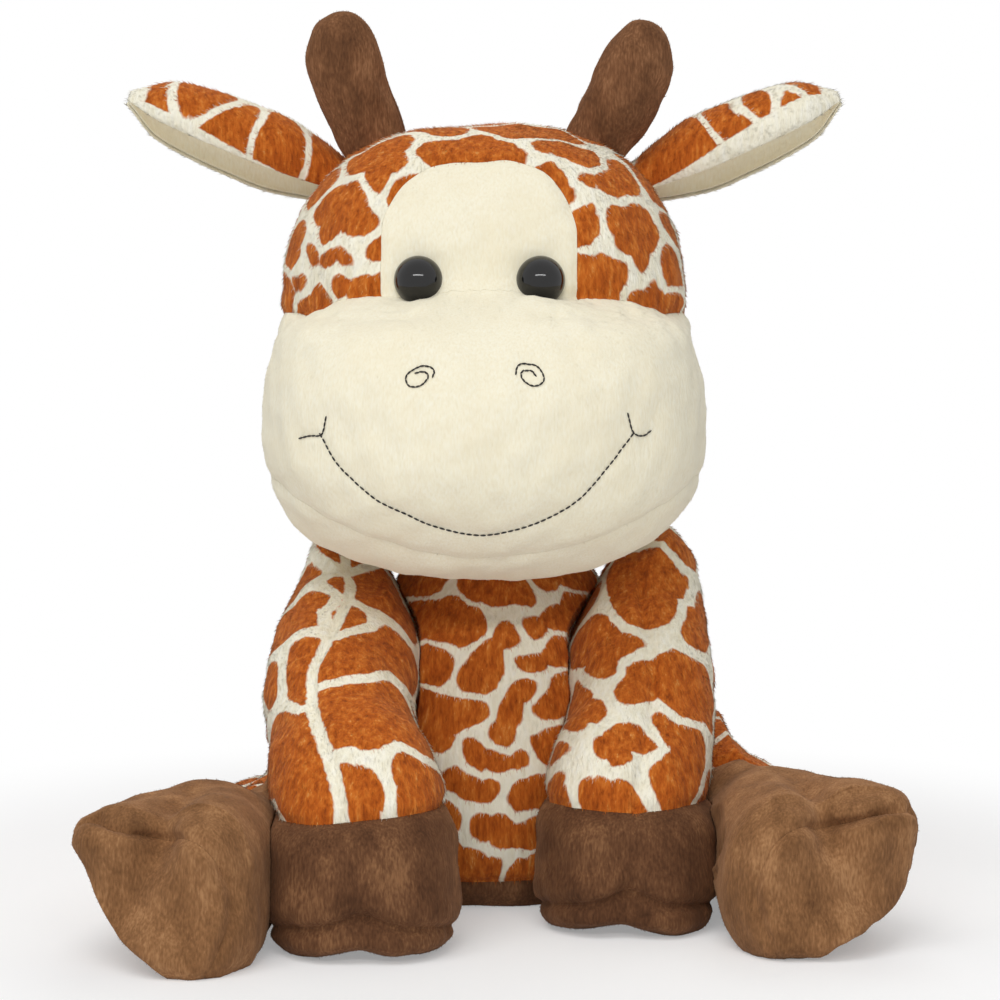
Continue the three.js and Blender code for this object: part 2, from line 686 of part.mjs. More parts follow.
function buildHead(group) {
  const shell = headForm(0, false).subtract(headForm(clothWall, true)).subtract(headSocket);
  const front = -muzzleForward - muzzleHalfDepth - overrun;
  const cheekBlock = (grow) => {
    const half = muzzleHalfWidth + overrun;
    const low = muzzleHeight - muzzleHalfHeight - overrun;
    const shape = new THREE.Shape();
    shape.moveTo(headShift - half, low);
    shape.lineTo(headShift + half, low);
    shape.lineTo(headShift + half, cheekSeamHeight + grow);
    shape.lineTo(headShift - half, cheekSeamHeight + grow);
    return frontPrism(shape, front, cheekSeamBack + grow);
  };
  const muzzleSpace = (grow) => muzzleForm(-muzzleSeamReach - grow, false).add(cheekBlock(grow));
  const muzzleSide = shell.intersect(muzzleSpace(0));
  const crownSide = shell.subtract(muzzleSpace(sewnGap));

  const foreheadShape = (grow) => {
    const half = foreheadHalfWidth + grow;
    const cornerX = half - foreheadCorner;
    const cornerZ = foreheadTop + grow - foreheadCorner;
    const shape = new THREE.Shape();
    shape.moveTo(foreheadShift - half, foreheadBottom);
    shape.lineTo(foreheadShift + half, foreheadBottom);
    shape.lineTo(foreheadShift + half, foreheadTop - foreheadCorner);
    shape.absarc(foreheadShift + cornerX, cornerZ, foreheadCorner, 0, Math.PI / 2);
    shape.absarc(foreheadShift - cornerX, cornerZ, foreheadCorner, Math.PI / 2, Math.PI);
    return shape;
  };
  const chinShape = (grow) => {
    const right = headShift - muzzleHalfWidth - overrun;
    const left = headShift + muzzleHalfWidth + overrun;
    const low = chinHeight + grow;
    const high = chinHeight + chinRise + grow;
    const shape = new THREE.Shape();
    shape.moveTo(right, chinHeight - muzzleHalfHeight);
    shape.lineTo(left, chinHeight - muzzleHalfHeight);
    shape.lineTo(left, high);
    shape.quadraticCurveTo((left + headShift) / 2, low, headShift, low);
    shape.quadraticCurveTo((right + headShift) / 2, low, right, high);
    return shape;
  };
  const forehead = (grow) => frontPrism(foreheadShape(grow), front, 0);
  const chin = (grow) => frontPrism(chinShape(grow), front, crownHalfDepth);
  const eyeSeats = bothSides.map((side) => eyeSeat(side));
  const shanks = united(eyeSeats.map((seat) => shankHole(seat, shankRadius + sewnGap)));

  const crown = crownSide.subtract(forehead(sewnGap)).subtract(shanks);
  const muzzle = muzzleSide.subtract(chin(sewnGap)).subtract(shanks);
  addPiece(group, 'head_crown_cover', crown, patternCloth);
  addPiece(group, 'forehead_panel', crownSide.intersect(forehead(0)).subtract(shanks), creamCloth);
  addPiece(group, 'muzzle_cover', muzzle, creamCloth);
  addPiece(group, 'chin_panel', muzzleSide.intersect(chin(0)), creamCloth);
  const stuffing = headForm(clothWall + fillGap, true).subtract(headSocket);
  const pockets = eyeSeats.reduce((cut, seat) => cut.subtract(washerPocket(seat)), stuffing);
  addPiece(group, 'head_stuffing', pockets, fibre);
  bothSides.forEach((side, i) => {
    addPiece(group, `${sideName(side)}_eye`, eyeForm(eyeSeats[i]), blackGloss);
    addPiece(group, `${sideName(side)}_eye_washer`, washerForm(eyeSeats[i]), whitePlastic);
  });
}

// Place and direction of an eye, square to the crown's surface
function eyeSeat(side) {
  const x = (eyeShift + (side * eyeSpacing) / 2 - crownCentre.x) / crownHalf.x;
  const z = (eyeHeight - crownCentre.z) / crownHalf.z;
  const y = -((1 - Math.abs(x) ** crownPower - Math.abs(z) ** crownPower) ** (1 / crownPower));
  const slope = (value, half) => (Math.sign(value) * Math.abs(value) ** (crownPower - 1)) / half;
  const normal = point(slope(x, crownHalf.x), slope(y, crownHalf.y), slope(z, crownHalf.z)).normalize();
  return seatAt(point(x, y, z).multiply(crownHalf).add(crownCentre), normal);
}

const shankHole = (seat, radius) => drum(seat, radius, -shankLength - overrun, overrun);
const washerDepth = -clothWall - washerSetIn;

function washerPocket(seat) {
  const wide = drum(seat, washerRadius + sewnGap, washerDepth - washerThickness - sewnGap, 0);
  return wide.add(drum(seat, shankRadius + sewnGap, -shankLength - sewnGap, 0));
}

function eyeForm(seat) {
  const dome = new THREE.SphereGeometry(eyeRadius, turnedSides, turnedSides / 2);
  dome.translate(0, -eyeSink, 0);
  const shank = drum(seat, shankRadius, -shankLength, 0);
  return placed(dome, seat).subtract(headForm(-sewnGap, false)).add(shank);
}

function washerForm(seat) {
  const washer = drum(seat, washerRadius, washerDepth - washerThickness, washerDepth);
  return washer.subtract(shankHole(seat, shankRadius + sewnGap));
}

// The head's outside, wherever it can be seen from a piece that swings on it
function headPast(pivot, swing, steps) {
  return swept(headForm(-sewnGap, false), pivot, axisY, -swing, swing, steps);
}

function buildHorn(parent, side) {
  const shape = horn(side);
  const group = bodyGroup(parent, shape.base);
  const past = headPast(shape.base, hornSwing, 2);
  const cover = limbForm(shape, 0, false).subtract(limbForm(shape, clothWall, true)).subtract(past);
  const filling = limbForm(shape, clothWall + fillGap, true).subtract(past);
  addPiece(group, `${sideName(side)}_horn_cover`, cover, brownCloth);
  addPiece(group, `${sideName(side)}_horn_stuffing`, filling, fibre);
}

const earBase = (side) => point(headShift / 2 + side * earBaseX, earBack, earBaseHeight);

// An ear is a pointed leaf, arched over along its length and open below and in front
function earSurface(side, inset) {
  const base = earBase(side);
  const tipX = side > 0 ? earTipXLeft : earTipXRight;
  const tip = point(headShift / 2 + side * tipX, 0, earTipHeight);
  const outward = tip.clone().sub(base).normalize();
  const forward = point(0, -1, 0).addScaledVector(outward, outward.y).normalize();
  const up = new THREE.Vector3().crossVectors(forward, outward).multiplyScalar(side).normalize();
  return (t, across) => {
    const half = earHalfWidth * along(earWidthShares, t) - inset;
    const rise = earArch * along(earWidthShares, t) - inset;
    const reach = across < 0 ? earBackAngle : earFrontAngle;
    const angle = THREE.MathUtils.degToRad(across * reach);
    const middle = base.clone().lerp(tip, THREE.MathUtils.lerp(earRootShare, 1, t));
    middle.addScaledVector(forward, Math.sin(angle) * half);
    return middle.addScaledVector(up, Math.cos(angle) * rise);
  };
}

function buildEar(parent, side) {
  const group = bodyGroup(parent, earBase(side));
  const past = headPast(earBase(side), earSwing, 4);
  const sheet = clothWall / 2;
  const layer = (depth) => {
    const outside = earSurface(side, depth);
    const inside = earSurface(side, depth + sheet);
    return clothSheet(outside, inside, earSteps, earArcSteps).subtract(past);
  };
  addPiece(group, `${sideName(side)}_ear_outer`, layer(0), patternCloth);
  addPiece(group, `${sideName(side)}_ear_lining`, layer(sheet + sewnGap), creamCloth);
}

function buildForeleg(side) {
  const name = sideName(side);
  const pivot = shoulderPivot(side);
  const group = bodyGroup(root, pivot);
  const past = headPastForeleg(side);
  const cut = (solid) => solid.subtract(past);
  const inside = limbForm(foreleg(side), clothWall, true).add(shoulderRootRoom(side));
  const shell = cut(forelegForm(side, 0, false).subtract(inside));
  const soleSlope = Math.atan2(foreSoleFront - foreSoleBack, 2 * forelegHalfDepth);
  const soleNormal = [0, Math.sin(soleSlope), Math.cos(soleSlope)];
  const soleMiddle = (foreSoleFront + foreSoleBack) / 2;
  const soleOffset = soleMiddle * soleNormal[2] - foreReach(side) * soleNormal[1];
  const above = shell.trimByPlane([0, 0, 1], wristHeight + sewnGap / 2);
  const hoof = shell.trimByPlane([0, 0, -1], -wristHeight + sewnGap / 2);
  addPiece(group, `${name}_foreleg_cover`, above, patternCloth);
  addPiece(group, `${name}_fore_hoof`, hoof.trimByPlane(soleNormal, soleOffset + sewnGap / 2), brownCloth);
  const soleDown = soleNormal.map((value) => -value);
  addPiece(group, `${name}_fore_sole`, hoof.trimByPlane(soleDown, -soleOffset + sewnGap / 2), brownCloth);
  const sewnRoot = shoulderRoot(side, shoulderRootRadius, 0);
  const filling = forelegForm(side, clothWall + fillGap, true).add(sewnRoot);
  addPiece(group, `${name}_foreleg_stuffing`, cut(filling), fibre);
}

function buildHindLeg(side) {
  const name = sideName(side);
  const group = bodyGroup(root, hipPivot(side));
  const clear = (solid) => solid.subtract(foreRooms.get(side));
  const inside = limbForm(hindLeg(side), clothWall, true).add(hipRoot(side, sewnGap));
  const shell = clear(hindForm(side, 0, false).subtract(inside));
  const sole = point(side * hindSoleX, -hindReach(side), 0);
  const ankle = point(side * ankleX, -hindReach(side) + hindHoofLength, 0);
  const forward = sole.clone().sub(ankle).normalize();
  const ankleOffset = forward.dot(ankle);
  const soleOffset = forward.dot(sole) - hindSoleThickness;
  const back = forward.clone().negate();
  const behind = (solid, offset) => solid.trimByPlane(back.toArray(), -offset + sewnGap / 2);
  const ahead = (solid, offset) => solid.trimByPlane(forward.toArray(), offset + sewnGap / 2);
  const hoof = ahead(shell, ankleOffset);
  addPiece(group, `${name}_thigh_cover`, behind(shell, ankleOffset), patternCloth);
  addPiece(group, `${name}_hind_hoof`, behind(hoof, soleOffset), brownCloth);
  addPiece(group, `${name}_hind_sole`, ahead(hoof, soleOffset), brownCloth);
  const filling = hindForm(side, clothWall + fillGap, true).add(hipRoot(side, 0));
  addPiece(group, `${name}_hind_stuffing`, clear(filling), fibre);
}

function buildTail() {
  const group = bodyGroup(root, tailRoot);
  const past = swept(torsoForm(-sewnGap, false), tailRoot, axisZ, -tailSwing, tailSwing, 4);
  addPiece(group, 'tail_cover', limbForm(tail, 0, false).subtract(past), patternCloth);
  const tip = limbForm(tuft, 0, false).subtract(limbForm(tail, -sewnGap, false));
  addPiece(group, 'tail_tuft', standing(tip, 0), brownCloth);
}

buildTorso();
buildTail();
const neckGroup = bodyGroup(root, neckPivot);
const neckForm = flatSided(flatUnder(neckBall(neckRadius), neckFlat), neckFlat);
addPiece(neckGroup, 'neck', neckForm, patternCloth);
const headGroup = bodyGroup(neckGroup, neckPivot);
buildHead(headGroup);
bothSides.forEach((side) => {
  buildHorn(headGroup, side);
  buildEar(headGroup, side);
  buildForeleg(side);
  buildHindLeg(side);
});

export default root;
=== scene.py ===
import bmesh
import bpy
import math
import numpy as np
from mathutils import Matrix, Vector
from mathutils.bvhtree import BVHTree
from mathutils.kdtree import KDTree


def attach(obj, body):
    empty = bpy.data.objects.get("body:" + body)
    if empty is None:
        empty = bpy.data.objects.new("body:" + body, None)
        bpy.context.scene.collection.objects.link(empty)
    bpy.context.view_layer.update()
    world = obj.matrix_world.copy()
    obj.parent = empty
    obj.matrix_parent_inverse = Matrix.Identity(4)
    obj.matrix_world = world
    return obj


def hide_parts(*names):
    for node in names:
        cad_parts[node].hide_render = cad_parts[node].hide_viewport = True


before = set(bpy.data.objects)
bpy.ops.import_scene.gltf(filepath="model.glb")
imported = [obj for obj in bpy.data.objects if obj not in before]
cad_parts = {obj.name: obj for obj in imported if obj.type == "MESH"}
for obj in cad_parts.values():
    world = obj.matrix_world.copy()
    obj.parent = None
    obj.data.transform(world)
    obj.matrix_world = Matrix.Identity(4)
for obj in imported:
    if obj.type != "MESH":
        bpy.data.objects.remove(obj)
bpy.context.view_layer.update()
mm = 0.001  # everything below is measured in millimetres, until it becomes a mesh
scene = bpy.context.scene
print("frame loaded")


# camera, floor and light
view = {"distance": 950.0, "height": 200.0, "pitch": 4.23, "focal": 2848.0, "centreX": 497.0, "pixels": 1000}
light = {
    "world": 0.36,
    "key": {"at": (-0.5, -1.0, 2.1), "size": (1.7, 1.7), "power": 22.5},
    "strip": {"at": (-0.03, -1.42, 0.84), "size": (1.3, 0.115), "power": 6.2},
    "back": {"at": (0.3, 1.3, 1.5), "size": (1.2, 1.2), "power": 8.0},
    "aim": (0, 0, 0.14),
    "floorAlbedo": 0.97,
    "floorWhite": 0.3,
    "floorFade": (0.165, 0.32),
    "floorRadius": 0.75,
    "floorSides": 64,
}


def addObject(name, data):
    made = bpy.data.objects.new(name, data)
    scene.collection.objects.link(made)
    return made


def placeCamera():
    data = bpy.data.cameras.new("camera")
    data.lens = view["focal"] / view["pixels"] * data.sensor_width
    data.shift_x = (view["pixels"] / 2 - view["centreX"]) / view["pixels"]
    data.clip_start = 0.05
    data.clip_end = 20
    camera = addObject("camera", data)
    camera.location = (0, -view["distance"] * mm, view["height"] * mm)
    camera.rotation_euler = (math.radians(90 - view["pitch"]), 0, 0)
    scene.camera = camera


def photoRay(px, py):
    # where a point of the photo lies, as a line from the camera
    pitch = math.radians(view["pitch"])
    forward = Vector((0, math.cos(pitch), -math.sin(pitch)))
    up = Vector((0, math.sin(pitch), math.cos(pitch)))
    across = Vector((1, 0, 0)) * (px - view["centreX"]) / view["focal"]
    down = up * (py - view["pixels"] / 2) / view["focal"]
    return Vector((0, -view["distance"], view["height"])), (forward + across - down).normalized()


def addNode(tree, kind, inputs=None, **values):
    made = tree.nodes.new(kind)
    for name, value in values.items():
        setattr(made, name, value)
    for name, value in (inputs or {}).items():
        if isinstance(value, bpy.types.NodeSocket):
            tree.links.new(value, made.inputs[name])
        else:
            made.inputs[name].default_value = value
    return made


def newMaterial(name):
    material = bpy.data.materials.new(name)
    material.use_nodes = True
    material.node_tree.nodes.clear()
    return material, material.node_tree


def principled(tree, inputs):
    shader = addNode(tree, "ShaderNodeBsdfPrincipled", inputs)
    addNode(tree, "ShaderNodeOutputMaterial", {"Surface": shader.outputs[0]})


def mathNode(tree, operation, first, second):
    return addNode(tree, "ShaderNodeMath", {0: first, 1: second}, operation=operation).outputs[0]


def mixShaders(tree, share, first, second):
    return addNode(tree, "ShaderNodeMixShader", {0: share, 1: first.outputs[0], 2: second.outputs[0]}).outputs[0]


def whiteForCamera(tree):
    # seen directly, in gloss or through clear things, it is plain white
    rays = addNode(tree, "ShaderNodeLightPath").outputs
    direct = mathNode(tree, "MAXIMUM", rays["Is Camera Ray"], rays["Is Glossy Ray"])
    return mathNode(tree, "MAXIMUM", direct, rays["Is Transmission Ray"])


def buildWorld():
    world = bpy.data.worlds.new("studio")
    world.use_nodes = True
    tree = world.node_tree
    tree.nodes.clear()
    dim = addNode(tree, "ShaderNodeBackground", {"Color": (1, 1, 1, 1), "Strength": light["world"]})
    white = addNode(tree, "ShaderNodeBackground", {"Color": (1, 1, 1, 1), "Strength": 1.0})
    addNode(tree, "ShaderNodeOutputWorld", {"Surface": mixShaders(tree, whiteForCamera(tree), dim, white)})
    scene.world = world
    scene.view_settings.view_transform = "Standard"


def buildFloor():
    angle = 2 * math.pi * np.arange(light["floorSides"]) / light["floorSides"]
    ring = np.stack([np.cos(angle), np.sin(angle), 0 * angle], axis=1) * light["floorRadius"]
    mesh = bpy.data.meshes.new("studioFloor")
    mesh.from_pydata(ring.tolist(), [], [list(range(len(ring)))])
    material, tree = newMaterial("studioPaper")
    where = addNode(tree, "ShaderNodeTexCoord").outputs["Object"]
    reach = addNode(tree, "ShaderNodeVectorMath", {0: where}, operation="LENGTH").outputs["Value"]
    low, high = light["floorFade"]
    fade = {"Value": reach, "From Min": low, "From Max": high, "To Min": light["floorWhite"]}
    edge = addNode(tree, "ShaderNodeMapRange", fade, interpolation_type="SMOOTHSTEP").outputs["Result"]
    both = mathNode(tree, "MULTIPLY", whiteForCamera(tree), edge)
    paper = addNode(tree, "ShaderNodeBsdfDiffuse", {"Color": (light["floorAlbedo"],) * 3 + (1,)})
    white = addNode(tree, "ShaderNodeEmission", {"Color": (1, 1, 1, 1), "Strength": 1.0})
    addNode(tree, "ShaderNodeOutputMaterial", {"Surface": mixShaders(tree, both, paper, white)})
    mesh.materials.append(material)
    addObject("studioFloor", mesh)


def buildLamps():
    for name in ("key", "strip", "back"):
        settings = light[name]
        data = bpy.data.lights.new(name, "AREA")
        data.shape = "RECTANGLE"
        data.size, data.size_y = settings["size"]
        data.energy = settings["power"]
        lamp = addObject(name, data)
        lamp.location = settings["at"]
        aim = Vector(light["aim"]) - Vector(settings["at"])
        lamp.rotation_euler = aim.to_track_quat("-Z", "Y").to_euler()
        lamp.visible_glossy = name == "strip"


# curves and noise
def splinePoints(points, steps):
    # a centripetal spline through the points, sampled evenly along its length
    points = np.asarray(points, float)
    first = 2 * points[0] - points[1]
    last = 2 * points[-1] - points[-2]
    guide = np.vstack([first, points, last])
    knots = np.concatenate([[0], np.cumsum(np.linalg.norm(np.diff(guide, axis=0), axis=1) ** 0.5)])
    samples = []
    for i in range(1, len(guide) - 2):
        t = np.linspace(knots[i], knots[i + 1], 80, endpoint=i == len(guide) - 3)[:, None]

        def between(a, b, ta, tb):
            return ((tb - t) * a + (t - ta) * b) / (tb - ta)

        p, k = guide[i - 1 : i + 3], knots[i - 1 : i + 3]
        a1, a2, a3 = (between(p[j], p[j + 1], k[j], k[j + 1]) for j in range(3))
        b1 = between(a1, a2, k[0], k[2])
        b2 = between(a2, a3, k[1], k[3])
        samples.append(between(b1, b2, k[1], k[2]))
    dense = np.vstack(samples)
    length = np.concatenate([[0], np.cumsum(np.linalg.norm(np.diff(dense, axis=0), axis=1))])
    wanted = np.asarray(steps) * length[-1]
    placed = np.stack([np.interp(wanted, length, dense[:, j]) for j in range(3)], axis=1)
    tangent = np.gradient(dense, axis=0)
    turned = np.stack([np.interp(wanted, length, tangent[:, j]) for j in range(3)], axis=1)
    return placed, unit(turned)


def unit(vectors):
    return vectors / np.maximum(np.linalg.norm(vectors, axis=-1, keepdims=True), 1e-12)


def shareAlong(shares, t):
    # a smooth curve through a table of evenly spaced shares
    shares = np.asarray(shares, float)
    guide = np.concatenate([[shares[0]], shares, [shares[-1]]])
    place = np.clip(np.asarray(t) * (len(shares) - 1), 0, len(shares) - 1 - 1e-9)
    i = np.floor(place).astype(int)
    w = place - i
    p0, p1, p2, p3 = (guide[i + j] for j in range(4))
    v0, v1 = (p2 - p0) / 2, (p3 - p1) / 2
    return (2 * p1 - 2 * p2 + v0 + v1) * w**3 + (-3 * p1 + 3 * p2 - 2 * v0 - v1) * w**2 + v0 * w + p1


def lumps(points, size, seed, count=9):
    # smooth random waves of about the given size, from -1 to 1
    random = np.random.default_rng(seed)
    total = np.zeros(len(points))
    for _ in range(count):
        direction = unit(random.normal(size=3)) * 2 * math.pi / (size * random.uniform(0.75, 1.4))
        total += np.sin(points @ direction + random.uniform(0, 2 * math.pi))
    return total / math.sqrt(count * 2)


def smoothStep(value, low, high):
    t = np.clip((value - low) / (high - low), 0, 1)
    return t * t * (3 - 2 * t)


def hump(value, width):
    # 1 in the middle, falling to 0 on both sides
    return np.exp(-((value / width) ** 2))


def swollen(points, waves, turn=0):
    # waves of several kinds, each with its height, its length and its seed
    return sum(height * lumps(points, length, seed + turn) for height, length, seed in waves)


# skins: points, triangles and what is known at each point
def normalsOf(skin):
    points, faces = skin["points"], skin["faces"]
    a, b, c = (points[faces[:, i]] for i in range(3))
    across = np.cross(b - a, c - a)
    total = np.zeros_like(points)
    for i in range(3):
        for j in range(3):
            total[:, j] += np.bincount(faces[:, i], across[:, j], len(points))
    return unit(total)


def edgesOf(faces):
    # the three sides of each triangle, in its own sense
    return np.vstack([faces[:, [0, 1]], faces[:, [1, 2]], faces[:, [2, 0]]])


def onceEach(edges):
    return np.unique(np.sort(edges, axis=1), axis=0)


def codeOf(edges, count):
    # one number for each edge, from its two ends
    return edges[:, 0].astype(np.int64) * count + edges[:, 1]


def closedGrid(rows, columns):
    # triangles of rings between two poles: the poles are the first and the last point
    around = 1 + np.arange(columns)
    after = 1 + np.arange(1, columns + 1) % columns
    last = (rows - 1) * columns
    faces = [(np.zeros(columns, int), after, around)]
    for here in range(0, last, columns):
        a, b, c, d = around + here, after + here, after + here + columns, around + here + columns
        faces += [(a, b, c), (a, c, d)] if here // columns % 2 else [(a, b, d), (b, c, d)]
    faces.append((around + last, after + last, np.full(columns, 1 + rows * columns)))
    return np.vstack([np.stack(corners, axis=1) for corners in faces])


def outward(skin):
    points, faces = skin["points"], skin["faces"]
    a, b, c = (points[faces[:, i]] for i in range(3))
    if np.einsum("ij,ij->i", a, np.cross(b, c)).sum() < 0:
        skin["faces"] = faces[:, ::-1].copy()
    return skin


def limbSkin(limb):
    # a stuffed limb along a spine, whose section swells by its tables of shares
    rings, sides = limb["rings"], limb["sides"]
    place = (1 - np.cos(np.pi * np.arange(rings + 1) / rings)) / 2
    shrink = np.linspace(0.93, 0, limb.get("capRings", 0) + 1)
    if "capRings" in limb:
        # a flat end gets rings of its own, evenly towards its middle
        end = (1 + (1 - shrink ** limb["endPower"]) ** (1 / limb["endPower"])) / 2
        place = np.concatenate([place[place < end[0] - 1e-4], end])
        rings = len(place) - 1
    spine, tangent = splinePoints(limb["spine"], place)
    toe = np.asarray(limb["toe"], float)
    toe = unit(toe - tangent * (tangent @ toe)[:, None])
    side = np.cross(toe, tangent)
    power = np.where(place < 0.5, limb["rootPower"], limb["endPower"])
    dome = np.maximum(1 - np.abs(2 * place - 1) ** power, 0) ** (1 / power)
    if "capRings" in limb:
        dome[-len(shrink) :] = shrink
    halfSide = limb["halfWidth"] * shareAlong(limb["widthShares"], place) * dome
    halfToe = limb["halfDepth"] * shareAlong(limb["depthShares"], place) * dome
    angle = 2 * np.pi * np.arange(sides) / sides
    c, s = np.cos(angle), np.sin(angle)
    reach = (np.abs(c) ** limb["power"] + np.abs(s) ** limb["power"]) ** (-1 / limb["power"])
    inner = slice(1, rings)
    u = np.broadcast_to(c * reach, (rings - 1, sides))
    v = np.broadcast_to(s * reach, (rings - 1, sides))
    grid = (
        spine[inner, None]
        + side[inner, None] * (u * halfSide[inner, None])[..., None]
        + toe[inner, None] * (v * halfToe[inner, None])[..., None]
    )

    def spread(values, first, last):
        flat = np.broadcast_to(values, (rings - 1, sides) + values.shape[2:]).reshape(-1, *values.shape[2:])
        return np.concatenate([np.asarray(first)[None], flat, np.asarray(last)[None]])

    skin = {
        "points": spread(grid, spine[0], spine[-1]),
        "faces": closedGrid(rings - 1, sides),
        "fields": {
            "place": spread(place[inner, None], 0.0, 1.0),
            "across": spread(u * dome[inner, None], 0.0, 0.0),
            "toeward": spread(v * dome[inner, None], 0.0, 0.0),
            "core": spread(spine[inner, None], spine[0], spine[-1]),
            "alongAxis": spread(tangent[inner, None], tangent[0], tangent[-1]),
        },
    }
    return outward(skin)


def flattened(skin, normal, offset, edge=3.0):
    # what lies beyond a plane is pressed flat against it, with a soft edge
    normal = np.asarray(normal, float)
    height = skin["points"] @ normal - offset
    beyond = (height - np.sqrt(height**2 + edge**2)) / 2
    skin["points"] -= beyond[:, None] * normal


def onFloor(skin, height=0.0):
    skin["points"][:, 2] = np.maximum(skin["points"][:, 2], height)


def kdTreeOf(points):
    tree = KDTree(len(points))
    for i, point in enumerate(points):
        tree.insert(point, i)
    tree.balance()
    return tree


def treeOf(skin):
    return BVHTree.FromPolygons(skin["points"].tolist(), skin["faces"].tolist())


def clearOf(skin, other, inward, gap):
    # points that lie inside another skin go back along their own way in, until they are out of it
    points = skin["points"]
    near = np.all((points > other["low"] - gap) & (points < other["high"] + gap), axis=1)
    for i in np.nonzero(near)[0]:
        way = Vector(inward[i])
        hit, normal, _, distance = other["tree"].ray_cast(Vector(points[i]) - way * gap, way)
        if hit is not None and normal.dot(way) > 0:
            points[i] += inward[i] * distance


def cutAlong(skin, name, region=None):
    # the points nearest to a border move onto it, so that a panel can end there
    points, fields = skin["points"], skin["fields"]
    value = fields[name]
    locked = skin.setdefault("locked", np.zeros(len(points), bool))
    a, b = onceEach(edgesOf(skin["faces"])).T
    crossing = value[a] * value[b] < 0
    if region is not None:
        crossing &= region[a] & region[b]
    a, b = a[crossing], b[crossing]
    t = value[a] / (value[a] - value[b])
    near, far, share = np.where(t < 0.5, a, b), np.where(t < 0.5, b, a), np.where(t < 0.5, t, 1 - t)
    swap = locked[near] & ~locked[far]
    near, far, share = np.where(swap, far, near), np.where(swap, near, far), np.where(swap, 1 - share, share)
    free = ~locked[near]
    near, far, share = near[free], far[free], share[free]
    order = np.argsort(-share * np.linalg.norm(points[far] - points[near], axis=1))
    chosen = np.full(len(points), -1)
    chosen[near[order]] = order
    moved = np.nonzero(chosen >= 0)[0]
    pick = chosen[moved]
    w = share[pick]
    other = far[pick]
    points[moved] += (points[other] - points[moved]) * w[:, None]
    for key, field in fields.items():
        shaped = w.reshape(-1, *([1] * (field.ndim - 1)))
        field[moved] = field[moved] + (field[other] - field[moved]) * shaped
    value[moved] = 0
    locked[moved] = True


def sideOf(skin, name):
    value = skin["fields"][name]
    return value[skin["faces"]].sum(axis=1) > 0


def panelOf(skin, chosen):
    faces = skin["faces"][chosen]
    used, index = np.unique(faces, return_inverse=True)
    return {
        "points": skin["points"][used].copy(),
        "faces": index.reshape(-1, 3),
        "fields": {key: field[used].copy() for key, field in skin["fields"].items()},
    }


def withRim(panel, depth, gap):
    # the panel's edge turns in, as sewn cloth does
    points, faces = panel["points"], panel["faces"]
    directed = edgesOf(faces)
    back = codeOf(directed[:, ::-1], len(points))
    edges = directed[~np.isin(codeOf(directed, len(points)), back)]
    rim = np.unique(edges)
    normals = panel["fields"].pop("normal")
    middle = np.zeros((len(points), 3))
    count = np.zeros(len(points))
    centres = points[faces].mean(axis=1)
    for i in range(3):
        count += np.bincount(faces[:, i], minlength=len(points))
        for j in range(3):
            middle[:, j] += np.bincount(faces[:, i], centres[:, j], len(points))
    inwards = middle[rim] / count[rim, None] - points[rim]
    inwards = unit(inwards - normals[rim] * np.einsum("ij,ij->i", inwards, normals[rim])[:, None])
    turned = points[rim] - normals[rim] * depth + inwards * gap
    points[rim] += inwards * gap / 2
    index = np.full(len(points), -1)
    index[rim] = len(points) + np.arange(len(rim))
    a, b = edges.T
    added = np.vstack([np.stack([b, a, index[a]], axis=1), np.stack([b, index[a], index[b]], axis=1)])
    panel["sharp"] = edges
    panel["points"] = np.vstack([points, turned])
    panel["faces"] = np.vstack([faces, added])
    panel["fields"].setdefault("pile", np.ones(len(points)))
    for key, values in panel["fields"].items():
        panel["fields"][key] = np.concatenate([values, values[rim]])
    panel["fields"]["pile"][-len(rim) :] = 0
    return panel


def arrayOf(items, label, width, kind=np.float32):
    values = np.empty(len(items) * width, kind)
    items.foreach_get(label, values)
    return values.reshape(-1, width) if width > 1 else values


def makeObject(name, panel, material):
    points, faces = panel["points"], panel["faces"]
    mesh = bpy.data.meshes.new(name)
    mesh.vertices.add(len(points))
    mesh.vertices.foreach_set("co", (points * mm).astype(np.float32).ravel())
    mesh.loops.add(len(faces) * 3)
    mesh.loops.foreach_set("vertex_index", faces.astype(np.int32).ravel())
    mesh.polygons.add(len(faces))
    mesh.polygons.foreach_set("loop_start", np.arange(0, len(faces) * 3, 3, dtype=np.int32))
    mesh.polygons.foreach_set("use_smooth", np.ones(len(faces), bool))
    mesh.update(calc_edges=True)
    if "sharp" in panel:
        pairs = (arrayOf(mesh.edges, "vertices", 2, np.int32), panel["sharp"])
        sharp = np.isin(*(codeOf(np.sort(pair, axis=1), len(points)) for pair in pairs))
        mesh.attributes.new("sharp_edge", "BOOLEAN", "EDGE").data.foreach_set("value", sharp)
    for key in ("spot", "tone", "pile", "nap"):
        if key in panel["fields"]:
            values = panel["fields"][key].astype(np.float32)
            kind, label = ("FLOAT", "value") if values.ndim == 1 else ("FLOAT_VECTOR", "vector")
            mesh.attributes.new(key, kind, "POINT").data.foreach_set(label, values.ravel())
    if material:
        mesh.materials.append(material)
    return addObject(name, mesh)


# cloth: the filling blows a rough copy up, and the fine skin takes its swelling over
padding = {
    "voxel": 5.0,
    "pressure": 4.0,
    "frames": 20,
    "hold": 3.0,
    "headCap": 1.6,
    "cap": 2.2,
    "share": 0.8,
    "near": 5,
    "blur": 1.5,
}


